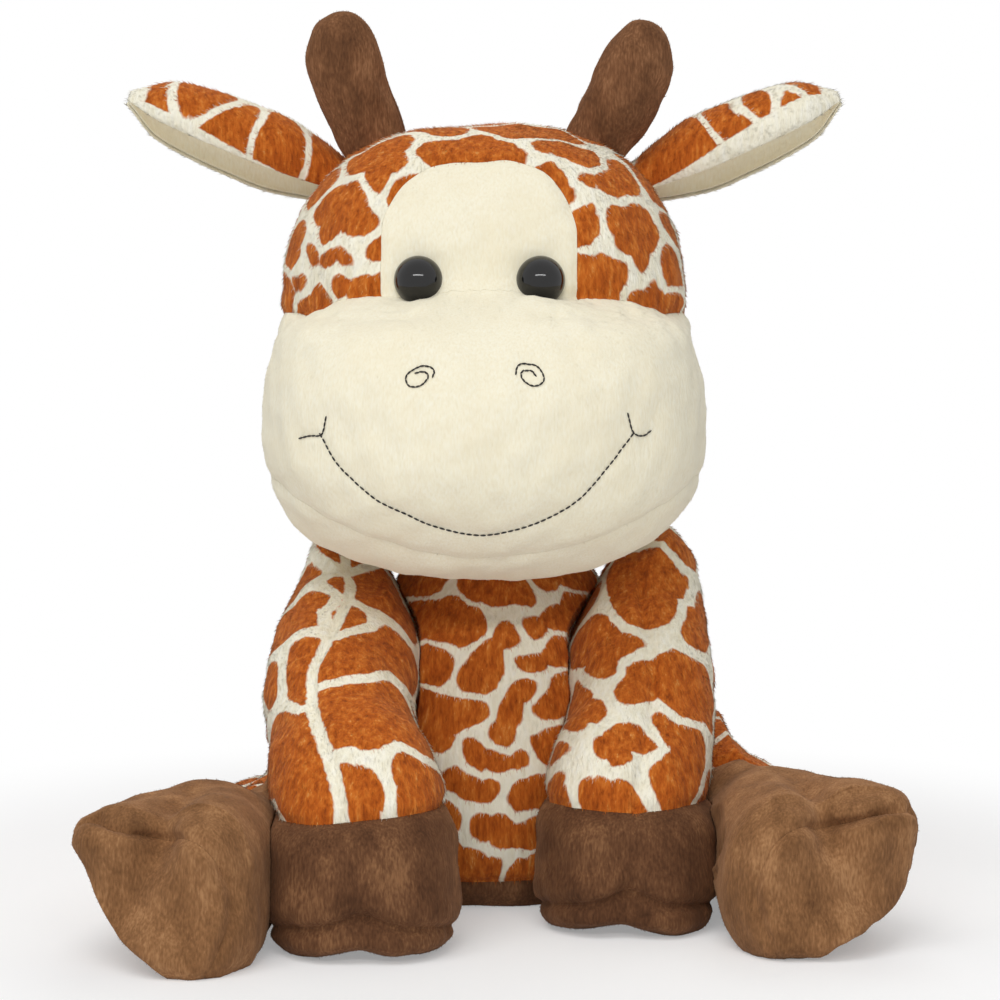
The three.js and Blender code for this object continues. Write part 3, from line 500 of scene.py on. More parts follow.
def blowUp(skin, held, cap):
    # held is how far each point lies from the nearest seam, which keeps the cloth in its place
    points = skin["points"]
    rough = makeObject("rough", {"points": points, "faces": skin["faces"], "fields": {}}, None)
    remesh = rough.modifiers.new("remesh", "REMESH")
    remesh.mode = "VOXEL"
    remesh.voxel_size = padding["voxel"] * mm
    graph = bpy.context.evaluated_depsgraph_get()
    mesh = bpy.data.meshes.new_from_object(rough.evaluated_get(graph))
    bpy.data.objects.remove(rough)
    pad = addObject("pad", mesh)
    rest, normals = arrayOf(mesh.vertices, "co", 3) / mm, arrayOf(mesh.vertices, "normal", 3)
    fine = kdTreeOf(points)
    nearest = np.array([fine.find(place)[1] for place in rest])
    fixed = held[nearest] < padding["hold"]
    pad.vertex_groups.new(name="held").add(np.nonzero(fixed)[0].tolist(), 1.0, "REPLACE")
    cloth = pad.modifiers.new("cloth", "CLOTH")
    cloth.settings.use_pressure = True
    cloth.settings.uniform_pressure_force = padding["pressure"]
    cloth.settings.effector_weights.gravity = 0
    cloth.settings.vertex_group_mass = "held"
    cloth.collision_settings.use_collision = False
    cloth.point_cache.frame_end = padding["frames"]
    for step in range(1, padding["frames"] + 1):
        scene.frame_set(step)
    graph = bpy.context.evaluated_depsgraph_get()
    blown = bpy.data.meshes.new_from_object(pad.evaluated_get(graph))
    moved = np.einsum("ij,ij->i", arrayOf(blown.vertices, "co", 3) / mm - rest, normals)
    bpy.data.objects.remove(pad)
    scene.frame_set(1)
    # the pattern was cut for the swollen shape, so only the difference from the usual swelling shows
    swelling = np.clip(moved - np.median(moved[~fixed]), -cap, cap) * padding["share"]
    print("cloth", len(rest), "points, swelling", np.round(np.percentile(moved, [5, 50, 95]), 2))
    coarse = kdTreeOf(rest)
    taken = np.empty(len(points))
    for i, point in enumerate(points):
        near = coarse.find_n(point, padding["near"])
        weight = [1 / (distance + padding["blur"]) ** 2 for _, _, distance in near]
        taken[i] = sum(swelling[j] * w for (_, j, _), w in zip(near, weight)) / sum(weight)
    skin["points"] = points + normalsOf(skin) * taken[:, None]


# spots
spots = {
    "halfLine": 1.45,
    "roundness": 2.1,
    "wander": 1.3,
    "wanderSize": 19.0,
    "spacing": 20.0,
    "near": 16,
    "chunk": 20000,
    "sample": 12000,
    "far": 99,
    "steep": 60,
}


def spotField(points, seeds, owners):
    # how far inside a spot each point lies. A spot is all the cells round its own seeds, with round corners
    moved = points.copy()
    for j in range(3):
        moved[:, j] += spots["wander"] * lumps(points, spots["wanderSize"], 40 + j)
    found = np.empty(len(points))
    count = min(spots["near"], len(seeds))
    for start in range(0, len(points), spots["chunk"]):
        part = moved[start : start + spots["chunk"]]
        square = ((part[:, None] - seeds[None]) ** 2).sum(axis=2)
        order = np.argpartition(square, count - 1, axis=1)[:, :count]
        order = np.take_along_axis(order, np.argsort(np.take_along_axis(square, order, 1), axis=1), 1)
        near = np.take_along_axis(square, order, 1)
        gap = np.linalg.norm(seeds[order] - seeds[order[:, :1]], axis=2)
        edge = (near - near[:, :1]) / (2 * np.maximum(gap, 1e-6))
        # each neighbouring spot counts once, by its nearest seed
        owner = owners[order]
        same = owner[:, :, None] == owner[:, None, :]
        edge = np.where(same, edge[:, None, :], spots["far"]).min(axis=2)
        counts = (owner != owner[:, :1]) & ~np.tril(same, -1).any(axis=2)
        total = (np.exp(-np.minimum(edge, spots["steep"]) / spots["roundness"]) * counts).sum(axis=1)
        found[start : start + spots["chunk"]] = -spots["roundness"] * np.log(np.maximum(total, 1e-12))
    return found - spots["halfLine"]


def fillSeeds(points, seeds, owners, seed):
    # more spots, of one seed each, wherever the given ones leave room
    random = np.random.default_rng(seed)
    seeds, owners = list(seeds), list(owners)
    nearest = np.full(len(points), np.inf)
    for place in seeds:
        nearest = np.minimum(nearest, np.linalg.norm(points - place, axis=1))
    while True:
        free = np.nonzero(nearest > spots["spacing"] * random.uniform(0.85, 1.15))[0]
        if len(free) == 0:
            return np.array(seeds), np.array(owners)
        chosen = points[random.choice(free)]
        seeds.append(chosen)
        owners.append(1000 + len(seeds))
        nearest = np.minimum(nearest, np.linalg.norm(points - chosen, axis=1))


def seedsFromView(tree, given):
    # each spot is a short line of points of the photo
    seeds, owners = [], []
    for owner, line in enumerate(given):
        for px, py in line:
            hit = tree.ray_cast(*photoRay(px, py))[0]
            if hit is not None:
                seeds.append(np.array(hit))
                owners.append(owner)
    return seeds, owners


# the forms of the toy, as in the frame
headShift = -4.0
crown = {
    "centre": np.array([-4.0, 0, 185.0]),
    "half": np.array([67.0, 60, 69]),
    "upper": 2.6,
    "lower": 2.6,
    "depth": 2.6,
}
muzzle = {
    "centre": np.array([-4.0, -40, 153.5]),
    "half": np.array([70.0, 60, 45.5]),
    "upper": 3.6,
    "lower": 2.4,
    "depth": 2.3,
}
head = {
    "star": np.array([-4.0, -18, 170.0]),
    "blend": 4.0,
    "foreheadX": -5.6,
    "foreheadHalf": 31.0,
    "foreheadTop": 241.0,
    "foreheadCorner": 24.0,
    "chinHeight": 117.0,
    "chinRise": 30.0,
    "chinHalf": 76.0,
    "muzzleGrow": 1.0,
    "cheekSeam": 192.5,
    "cheekBack": 6.0,
    "reach": (20.0, 160.0),
    "waves": ((0.9, 34, 3), (0.35, 11, 4)),
}
eyes = {"x": -5.5, "spacing": 38.6, "height": 203.0, "radius": 7.7, "sink": 1.6, "socket": 2.0, "socketReach": 8.5}
seam = {"depth": 1.3, "width": 1.7, "rim": 2.6, "gap": 0.1, "hoof": 1.4, "sole": (1.7, 1.6)}


def roundedGap(points, form, grow=0.0):
    # roughly the distance to a rounded form, negative inside it
    half = form["half"] + grow
    share = np.abs(points - form["centre"]) / half
    power = np.where(points[:, 2] > form["centre"][2], form["upper"], form["lower"])
    face = (share[:, 0] ** power + share[:, 2] ** power) ** (form["depth"] / power)
    level = (face + share[:, 1] ** form["depth"]) ** (1 / form["depth"])
    return (level - 1) * half.mean()


def headGap(points):
    a, b = roundedGap(points, crown), roundedGap(points, muzzle)
    k = head["blend"]
    h = np.clip(0.5 + 0.5 * (b - a) / k, 0, 1)
    return b * (1 - h) + a * h - k * h * (1 - h)


def ballSkin(subdivisions):
    # the directions of an even ball, and its triangles
    ball = bmesh.new()
    bmesh.ops.create_icosphere(ball, subdivisions=subdivisions, radius=1)
    way = unit(np.array([corner.co[:] for corner in ball.verts]))
    faces = np.array([[corner.index for corner in face.verts] for face in ball.faces])
    ball.free()
    return way, faces


def headReach(way, steps):
    # how far the head's surface lies from its star, found by halving
    low, high = (np.full(len(way), end) for end in head["reach"])
    for _ in range(steps):
        middle = (low + high) / 2
        inside = headGap(head["star"] + way * middle[:, None]) < 0
        low, high = np.where(inside, middle, low), np.where(inside, high, middle)
    return low[:, None]


def headSkin():
    way, faces = ballSkin(7)
    points = head["star"] + way * headReach(way, 34)
    skin = outward({"points": points, "faces": faces, "fields": {}})
    fields = skin["fields"]
    # the muzzle cloth runs round the cheeks under a level seam
    cheek = np.minimum(head["cheekSeam"] - points[:, 2], head["cheekBack"] - points[:, 1])
    fields["muzzle"] = np.maximum(-roundedGap(points, muzzle, head["muzzleGrow"]), cheek)
    top, half, corner = head["foreheadTop"], head["foreheadHalf"], head["foreheadCorner"]
    dx = np.abs(points[:, 0] - head["foreheadX"]) - (half - corner)
    dz = points[:, 2] - (top - corner)
    arch = np.hypot(np.maximum(dx, 0), np.maximum(dz, 0)) + np.minimum(np.maximum(dx, dz), 0) - corner
    fields["forehead"] = np.minimum(-arch, -points[:, 1] - 5)
    chin = head["chinHeight"] + head["chinRise"] * ((points[:, 0] - headShift) / head["chinHalf"]) ** 2
    fields["chin"] = chin - points[:, 2]
    return skin


def eyeSite(side):
    # where an eye sits on the crown, and which way it looks
    x = eyes["x"] + side * eyes["spacing"] / 2
    share = (np.array([x, crown["centre"][1], eyes["height"]]) - crown["centre"]) / crown["half"]
    power = crown["depth"]
    rest = (1 - (np.abs(share) ** power).sum()) ** (1 / power)
    at = np.array([x, -crown["half"][1] * rest, eyes["height"]])
    away = (at - crown["centre"]) / crown["half"]
    normal = np.sign(away) * np.abs(away) ** (power - 1) / crown["half"]
    return at, normal / np.linalg.norm(normal)


def groove(distance, depth=None, width=None):
    return (depth or seam["depth"]) * hump(distance, width or seam["width"])


def relax(skin, weight, times):
    # points with weight go to the middle of their neighbours, again and again
    faces = skin["faces"]
    chosen = np.nonzero(weight > 0.01)[0]
    edges = onceEach(edgesOf(faces))
    both = np.vstack([edges, edges[:, ::-1]])
    index = np.full(len(weight), -1)
    index[chosen] = np.arange(len(chosen))
    both = both[index[both[:, 0]] >= 0]
    own, other = index[both[:, 0]], both[:, 1]
    count = np.bincount(own, minlength=len(chosen))[:, None]
    for _ in range(times):
        near = skin["points"][other]
        total = np.stack([np.bincount(own, near[:, j], len(chosen)) for j in range(3)], axis=1)
        skin["points"][chosen] += (total / count - skin["points"][chosen]) * weight[chosen, None]


def buildHead():
    skin = headSkin()
    fields = skin["fields"]
    cutAlong(skin, "muzzle")
    cutAlong(skin, "forehead", fields["muzzle"] < 0.01)
    cutAlong(skin, "chin", fields["muzzle"] > -0.01)
    points = skin["points"]
    normals = normalsOf(skin)
    # between the eyes the seam lies flat, as both cloths there are cream
    nose = np.exp(-(((points[:, 0] - head["foreheadX"]) / 12) ** 4)) * (points[:, 1] < -20)
    down = groove(fields["muzzle"]) * (1 - 0.8 * nose)
    down += np.where(fields["muzzle"] < 0.1, groove(fields["forehead"], 0.9), 0)
    down += np.where(fields["muzzle"] > -0.1, groove(fields["chin"], 0.85), 0)
    # the muzzle cloth puffs out beside its seam
    puff = 1.3 * hump(fields["muzzle"] - 7, 5) * (1 - 0.6 * nose)
    swell = swollen(points, head["waves"])
    pucker = 0.35 * lumps(points, 5.5, 5) * hump(fields["muzzle"], 7)
    for side in (-1, 1):
        at, _ = eyeSite(side)
        away = np.linalg.norm(points - at, axis=1)
        down += eyes["socket"] * hump(away, eyes["socketReach"])
        # cheeks puff up under the eyes, most on their inner side
        under = at + np.array([0, -6.0, -12.5])
        puff += 2.2 * np.exp(-(((points - under) / (11, 8, 4.5)) ** 2).sum(axis=1))
        inner = at + np.array([-side * 5.5, -2.0, -9.0])
        puff += 3.0 * np.exp(-(((points - inner) / (6.5, 9, 3.6)) ** 2).sum(axis=1))
    skin["points"] = points + normals * (swell + puff + pucker - down)[:, None]
    relax(skin, nose * hump(fields["muzzle"], 8) * 0.9, 80)
    held = np.minimum(np.abs(fields["muzzle"]), np.abs(fields["chin"]))
    held = np.minimum(held, np.where(fields["muzzle"] < 0, np.abs(fields["forehead"]), 99))
    for side in (-1, 1):
        held = np.minimum(held, np.linalg.norm(skin["points"] - eyeSite(side)[0], axis=1) - 8)
    blowUp(skin, held, padding["headCap"])
    sewThreads(skin)
    headNap(skin)
    return skin


# the mouth and the nostrils, as they are seen in the photo
threads = {
    "mouth": [(321, 435), (336, 462), (352, 479), (377, 500), (406, 514), (431, 525), (478, 535)]
    + [(514, 530), (546, 519), (578, 500), (603, 473), (632, 435)],
    "rightTick": [(301, 438), (310, 436), (321, 435), (326, 419)],
    "leftTick": [(628, 415.5), (634, 433), (642, 436), (649, 432)],
    "rightNostril": [(433, 376), (434, 370), (424, 366), (415, 369), (407, 375), (406, 380), (408, 385), (413, 387)]
    + [(420, 386), (425, 382), (428, 377), (427, 374), (424, 372), (417, 373)],
    "leftNostril": [(516, 373), (517, 368), (521, 364), (529, 364.5), (536, 366), (541, 371), (544, 378), (543, 382)]
    + [(539, 385), (533, 386), (526.5, 383), (522, 378), (521, 373), (524.5, 371), (529, 371), (533, 372), (535, 375)],
}
threadPaths = {}


def layOn(skin, places, lift):
    # points of the photo, laid on the skin
    tree = treeOf(skin)
    laid = []
    for px, py in places:
        start, way = photoRay(px, py)
        hit, normal, _, _ = tree.ray_cast(start, way)
        laid.append(np.array(hit) + np.array(normal) * lift)
    return np.array(laid)


def sewThreads(skin):
    # the thread draws the cloth in along its line, and no pile grows there
    points, fields = skin["points"], skin["fields"]
    normals = normalsOf(skin)
    fields["pile"] = np.ones(len(points))
    smooth = {}
    for name, line in threads.items():
        flat = np.column_stack([np.array(line, float), np.zeros(len(line))])
        smooth[name] = splinePoints(flat, np.linspace(0, 1, 12 * len(line)))[0][:, :2]
    down = np.zeros(len(points))
    for name, line in smooth.items():
        near = kdTreeOf(layOn(skin, line, 0))
        thin = 0.6 if "Nostril" in name else 1.0
        for i in np.nonzero(points[:, 1] < -55)[0]:
            distance = near.find(points[i])[2]
            if distance < 6:
                down[i] = max(down[i], groove(distance, stitch["groove"] * thin, stitch["grooveWidth"] * thin))
                down[i] = max(down[i], 0.35 * math.exp(-((distance / 3.2) ** 2)) * thin)
                fields["pile"][i] = min(fields["pile"][i], float(smoothStep(distance, 0.4, 1.3)))
    skin["points"] = points - normals * down[:, None]
    for name, line in smooth.items():
        threadPaths[name] = layOn(skin, line, stitch["lift"])


def headNap(skin):
    # the crown's pile lies back and down, the muzzle's lies down and outward
    points = skin["points"]
    way = np.tile([0.0, 0.25, -1.0], (len(points), 1))
    way[:, 0] = (points[:, 0] - headShift) / 90
    layNap(skin, way)


downward = [0.0, 0.0, -1.0]


def layNap(skin, way):
    # the pile lies along the skin, as near to the given way as it can
    normals = normalsOf(skin)
    skin["fields"]["nap"] = unit(way - normals * np.einsum("ij,ij->i", way, normals)[:, None])


# torso
torso = {
    "spine": [(0, 3, -6), (0, 3, 40.7), (0, 10, 122)],
    "halfWidth": 51,
    "halfDepth": 47,
    "widthShares": [0.95, 1, 1, 0.94, 0.84, 0.76, 0.7],
    "depthShares": [0.95, 1, 1, 0.95, 0.86, 0.78, 0.72],
    "toe": (0, -1, 0),
    "power": 2.2,
    "rootPower": 6,
    "endPower": 3.2,
    "rings": 230,
    "sides": 360,
    "seat": 9.0,
    "sideSeam": 12,
    "waves": ((1.2, 42, 11), (0.4, 14, 12)),
}
foreleg = {
    "halfWidth": 24,
    "halfDepth": 23,
    "widthShares": [0.98, 0.97, 0.98, 1, 1, 1.14, 1.22, 1.2],
    "depthShares": [1, 1, 1, 1, 1, 1.1, 1.18, 1.18],
    "toe": (0, -1, 0),
    "power": 2.3,
    "rootPower": 3.2,
    "endPower": 9,
    "rings": 260,
    "sides": 210,
    "reach": {-1: 94.0, 1: 61.0},
    "elbowOut": {-1: 4.0, 1: 1.0},
    "pivot": (46.0, -8.0, 97.0),
    "wristHeight": 39.0,
    "wristX": 42,
    "wristBack": 9,
    "elbowHeight": 68,
    "toeX": 40,
    "toeHeight": -0.5,
    "root": (6.25, 25),
    "waves": ((1.0, 38, 21), (0.45, 13, 31)),
}
hindLeg = {
    "halfWidth": 26,
    "halfDepth": 25.5,
    "widthShares": [1, 1, 1, 0.9, 0.92, 1.05, 1.12, 1.12],
    "depthShares": [1.1, 1.18, 1.14, 1.02, 0.97, 0.98, 1, 1],
    "toe": (0, 0, 1),
    "power": 2.3,
    "rootPower": 2.6,
    "endPower": 9,
    "capRings": 44,
    "rings": 240,
    "sides": 210,
    "reach": {-1: 126.0, 1: 106.0},
    "hoofLength": 62.0,
    "soleThickness": 7.0,
    "ankleX": 88,
    "soleX": 101,
    "soleHeight": 23.9,
    "pivot": (46.0, 8, 30),
    "waves": ((1.1, 40, 51), (0.5, 14, 61)),
}
horn = {
    "halfWidth": 12.5,
    "halfDepth": 11.5,
    "widthShares": [0.8, 0.84, 0.94, 1.02, 1.05, 1.04],
    "depthShares": [0.8, 0.84, 0.94, 1.02, 1.05, 1.04],
    "base": {-1: (-38.0, 0, 244), 1: (28.0, 0, 244)},
    "tip": {-1: (-52.5, -4, 291.5), 1: (51.5, -4, 287.5)},
    "bow": 3.0,
    "toe": (0, -1, 0),
    "power": 2,
    "rootPower": 6,
    "endPower": 2.6,
    "rings": 120,
    "sides": 120,
}
tail = {
    "spine": [(0, 43, 38), (0, 72, 30), (0, 95, 14)],
    "halfWidth": 6,
    "halfDepth": 6,
    "widthShares": [1.15, 1, 0.9, 0.85],
    "depthShares": [1.15, 1, 0.9, 0.85],
    "toe": (1, 0, 0),
    "power": 2,
    "rootPower": 8,
    "endPower": 8,
    "rings": 100,
    "sides": 80,
    "waves": ((0.4, 16, 81), (0.2, 6, 82)),
}
tuft = {
    "spine": [(0, 93, 15), (0, 108, 11.5), (0, 121, 8.5)],
    "halfWidth": 8.5,
    "halfDepth": 8.5,
    "widthShares": [0.8, 1, 1, 0.75, 0.4],
    "depthShares": [0.8, 1, 1, 0.75, 0.4],
    "toe": (1, 0, 0),
    "power": 2,
    "rootPower": 4,
    "endPower": 2,
    "rings": 80,
    "sides": 80,
    "waves": ((0.4, 16, 83), (0.2, 6, 84)),
}
neck = {"centre": np.array([-2.0, 6, 116]), "radius": 25.0, "flat": 22.5, "pleats": 22, "pleatDepth": 0.9}
pelletBag = {
    "spine": [(0, 3, 0), (0, 3, 11), (0, 3, 22)],
    "halfWidth": 30,
    "halfDepth": 30,
    "widthShares": [1, 1, 0.9, 0.8],
    "depthShares": [1, 1, 0.9, 0.8],
    "toe": (0, -1, 0),
    "power": 2,
    "rootPower": 4,
    "endPower": 2.4,
    "rings": 40,
    "sides": 120,
    "floor": 2.7,
    "waves": ((0.5, 5.5, 91), (0.7, 15, 92)),
}


def buildNeck():
    # a ball of cloth, gathered towards its top and its foot
    way, faces = ballSkin(5)
    turn = np.arctan2(way[:, 1], way[:, 0])
    gather = np.abs(way[:, 2]) ** 1.5 * np.hypot(way[:, 0], way[:, 1])
    depth = neck["pleatDepth"] * (0.5 + 0.5 * np.cos(neck["pleats"] * turn + 2 * way[:, 2])) * gather
    points = way * (neck["radius"] - depth)[:, None]
    points[:, 2] = np.maximum(points[:, 2], -neck["flat"])
    points[:, 0] = np.clip(points[:, 0], -neck["flat"], neck["flat"])
    skin = outward({"points": points + neck["centre"], "faces": faces, "fields": {}})
    layNap(skin, np.tile(downward, (len(points), 1)))
    return skin


def buildTorso():
    skin = limbSkin(torso)
    points, fields = skin["points"], skin["fields"]
    normals = normalsOf(skin)
    fields["seat"] = torso["seat"] - points[:, 2]
    # two seams run up the sides, one down the middle of the back
    sideSeam = np.where(points[:, 2] > torso["seat"], groove(points[:, 1] - torso["sideSeam"], 1.1), 0)
    backSeam = np.where(points[:, 1] > 15, groove(points[:, 0], 1.1), 0)
    points += normals * (swollen(points, torso["waves"]) - np.maximum(sideSeam, backSeam))[:, None]
    cutAlong(skin, "seat")
    layNap(skin, np.tile(downward, (len(points), 1)))
    skin["points"] -= normalsOf(skin) * groove(fields["seat"], 1.2)[:, None]
    onFloor(skin)
    return skin


def foreSkin(side):
    reach = foreleg["reach"][side]
    wristY = -reach + foreleg["wristBack"]
    px, py, pz = foreleg["pivot"]
    back, up = foreleg["root"]
    spine = [
        (side * px, py + back, pz + up),
        (side * px, py, pz),
        (side * (px + foreleg["elbowOut"][side]), (py + wristY) / 2, foreleg["elbowHeight"]),
        (side * foreleg["wristX"], wristY, foreleg["wristHeight"]),
        (side * foreleg["toeX"], -reach, foreleg["toeHeight"]),
    ]
    return limbSkin(foreleg | {"spine": spine})


# front legs
foreSeams = {
    "slopeAngle": math.atan2(7, 46),
    "soleMiddle": 6.8,
    "pinch": 4.0,
    "pinchWidth": 6.5,
    "toePush": 6.0,
    "valley": {-1: 1.5, 1: 2.6},
    "hoofRise": {-1: 2.2, 1: 0.0},
    "frontSeam": {-1: -0.15, 1: 0.05},
    "flatX": 25.0,
    "flatZ": 88.0,
    "flatLean": math.radians(31),
    "hoofPuff": (0.8, 7, 5),
    "solePuff": (0.9, 6, 4),
    "pucker": (0.35, 6, 27, 6),
}


def puffed(skin, seams):
    # a hoof's cloth puffs out beside both its seams, and puckers along the sole's
    fields = skin["fields"]
    high, away, width = seams["hoofPuff"]
    puff = high * hump(fields["hoofSeam"] - away, width)
    high, away, width = seams["solePuff"]
    puff += high * hump(fields["soleSeam"] + away, width)
    high, length, seed, width = seams["pucker"]
    return puff + high * lumps(skin["points"], length, seed) * hump(fields["soleSeam"], width)


def buildForeleg(side):
    skin = foreSkin(side)
    points, fields = skin["points"], skin["fields"]
    normals = normalsOf(skin)
    reach = foreleg["reach"][side]
    front = fields["toeward"] > 0
    # lumps of the filling, and a fold across the wrist
    swell = swollen(points, foreleg["waves"], side)
    hoof = smoothStep(foreleg["wristHeight"] - points[:, 2], -3, 10)
    wrist = 1.2 * hump(points[:, 2] - foreleg["wristHeight"] - 2, 8)
    # the toe has two lobes, with a shallow valley between them
    lobeAngle = fields["across"]
    valley = hump(lobeAngle, 0.16) * np.where(front, 1, 0) * smoothStep(30 - points[:, 2], 0, 24)
    valley *= smoothStep(points[:, 2], 1, 13)
    lobes = hump(np.abs(lobeAngle) - 0.5, 0.33) * np.where(front, 1, 0) * hoof
    points += normals * (swell - wrist + 1.3 * lobes - foreSeams["valley"][side] * valley)[:, None]
    # the seam up the front, with a narrow cream join
    seamGap = (fields["across"] - foreSeams["frontSeam"][side]) * foreleg["halfWidth"]
    seamGap = np.where(front, np.abs(seamGap), 99)
    backGap = np.where(~front, np.abs(fields["across"] * foreleg["halfWidth"]), 99)
    fields["legSide"] = np.where(front, (fields["across"] > foreSeams["frontSeam"][side]), fields["across"] > 0) * 1.0
    fields["seamGap"] = np.minimum(seamGap, backGap)
    cover = smoothStep(points[:, 2], foreleg["wristHeight"] - 1, foreleg["wristHeight"] + 3)
    points -= normalsOf(skin) * (groove(fields["seamGap"], 1.3, 1.8) * cover)[:, None]
    rise = foreSeams["hoofRise"][side] * (1.2 + np.clip(fields["across"], -1, 1) * np.where(front, 1, 0))
    fields["hoofSeam"] = foreleg["wristHeight"] + rise - points[:, 2] + 1.2 * lumps(points, 40, 25)
    slope = foreSeams["slopeAngle"]
    level = points[:, 2] * math.cos(slope) + (points[:, 1] + reach) * math.sin(slope)
    pinch = foreSeams["pinch"] * hump(fields["across"] * foreleg["halfWidth"], foreSeams["pinchWidth"])
    fields["soleSeam"] = foreSeams["soleMiddle"] * math.cos(slope) + np.where(front, pinch, 0) - level
    cutAlong(skin, "hoofSeam")
    cutAlong(skin, "soleSeam")
    points = skin["points"]
    normals = normalsOf(skin)
    down = groove(fields["hoofSeam"], seam["hoof"]) + groove(fields["soleSeam"], *seam["sole"])
    points += normals * (puffed(skin, foreSeams) - down)[:, None]
    points[:, 1] -= foreSeams["toePush"] * smoothStep(11 - points[:, 2], 0, 10) * np.clip(fields["toeward"], 0, 1)
    lean = foreSeams["flatLean"]
    outwardWay = np.array([side * math.cos(lean), 0, -math.sin(lean)])
    seamPoint = np.array([side * foreSeams["flatX"], 0, foreSeams["flatZ"]])
    flattened(skin, outwardWay, outwardWay @ seamPoint)
    onFloor(skin)
    return skin


# hind legs, which lie on the floor with their soles forward
hindSeams = {
    "flatX": 34.0,
    "heartMiddle": (-6.0, -4.0),
    "heartAngles": [0, 20, 35, 43, 51, 63, 76, 96, 110, 124, 145, 171, 194, 211, 225, 240, 262, 275, 360],
    "heartRadii": [45, 45, 41, 35.7, 28.8, 21.9, 17.5, 20, 20.5, 20.4, 18.6, 18.2, 18.7, 19.2, 20.5, 23, 32, 40, 45],
    "valley": ((-1.0, 15.0), (8.0, -6.0)),
    "valleyDepth": 4.2,
    "valleyWidth": 6.0,
    "cleft": 5.0,
    "bulge": 4.2,
    "cornerCut": {-1: (10.4, 4.3), 1: (10.4, 11.0)},
    "cutMiddle": {-1: 325, 1: 342},
    "corner": {-1: 2.5, 1: 6.0},
    "heel": 7.0,
    "fold": {-1: 0.8, 1: 2.6},
    "lobeDrop": {-1: 3.0, 1: 0.5},
    "leanBack": 8.0,
    "toePush": 6.0,
    "thighX": {-1: [60, 66, 72, 77, 90, 110], 1: [66, 75, 79, 84, 93, 110]},
    "thighTop": {-1: [70, 55, 44, 34, 28, 24], 1: [70, 57, 48, 42, 37, 32]},
    "seamBack": 6.0,
    "seamTurn": {-1: 16.0, 1: 9.0},
    "hoofPuff": (0.9, 7, 5),
    "solePuff": (0.8, 5, 4.5),
    "pucker": (0.35, 6, 57, 7),
}


def hindEnds(side):
    # the ankle, and the middle of the sole
    reach, height = hindLeg["reach"][side], hindLeg["soleHeight"]
    ankle = np.array([side * hindLeg["ankleX"], -reach + hindLeg["hoofLength"], height])
    return ankle, np.array([side * hindLeg["soleX"], -reach, height])


def hindSkin(side):
    ankle, sole = hindEnds(side)
    return limbSkin(hindLeg | {"spine": [(side * 28, 8, 30), (side * 46, 8, 30), (side * 72, 0, 30), ankle, sole]})


def bearing(up, out):
    return np.degrees(np.arctan2(up, out)) % 360


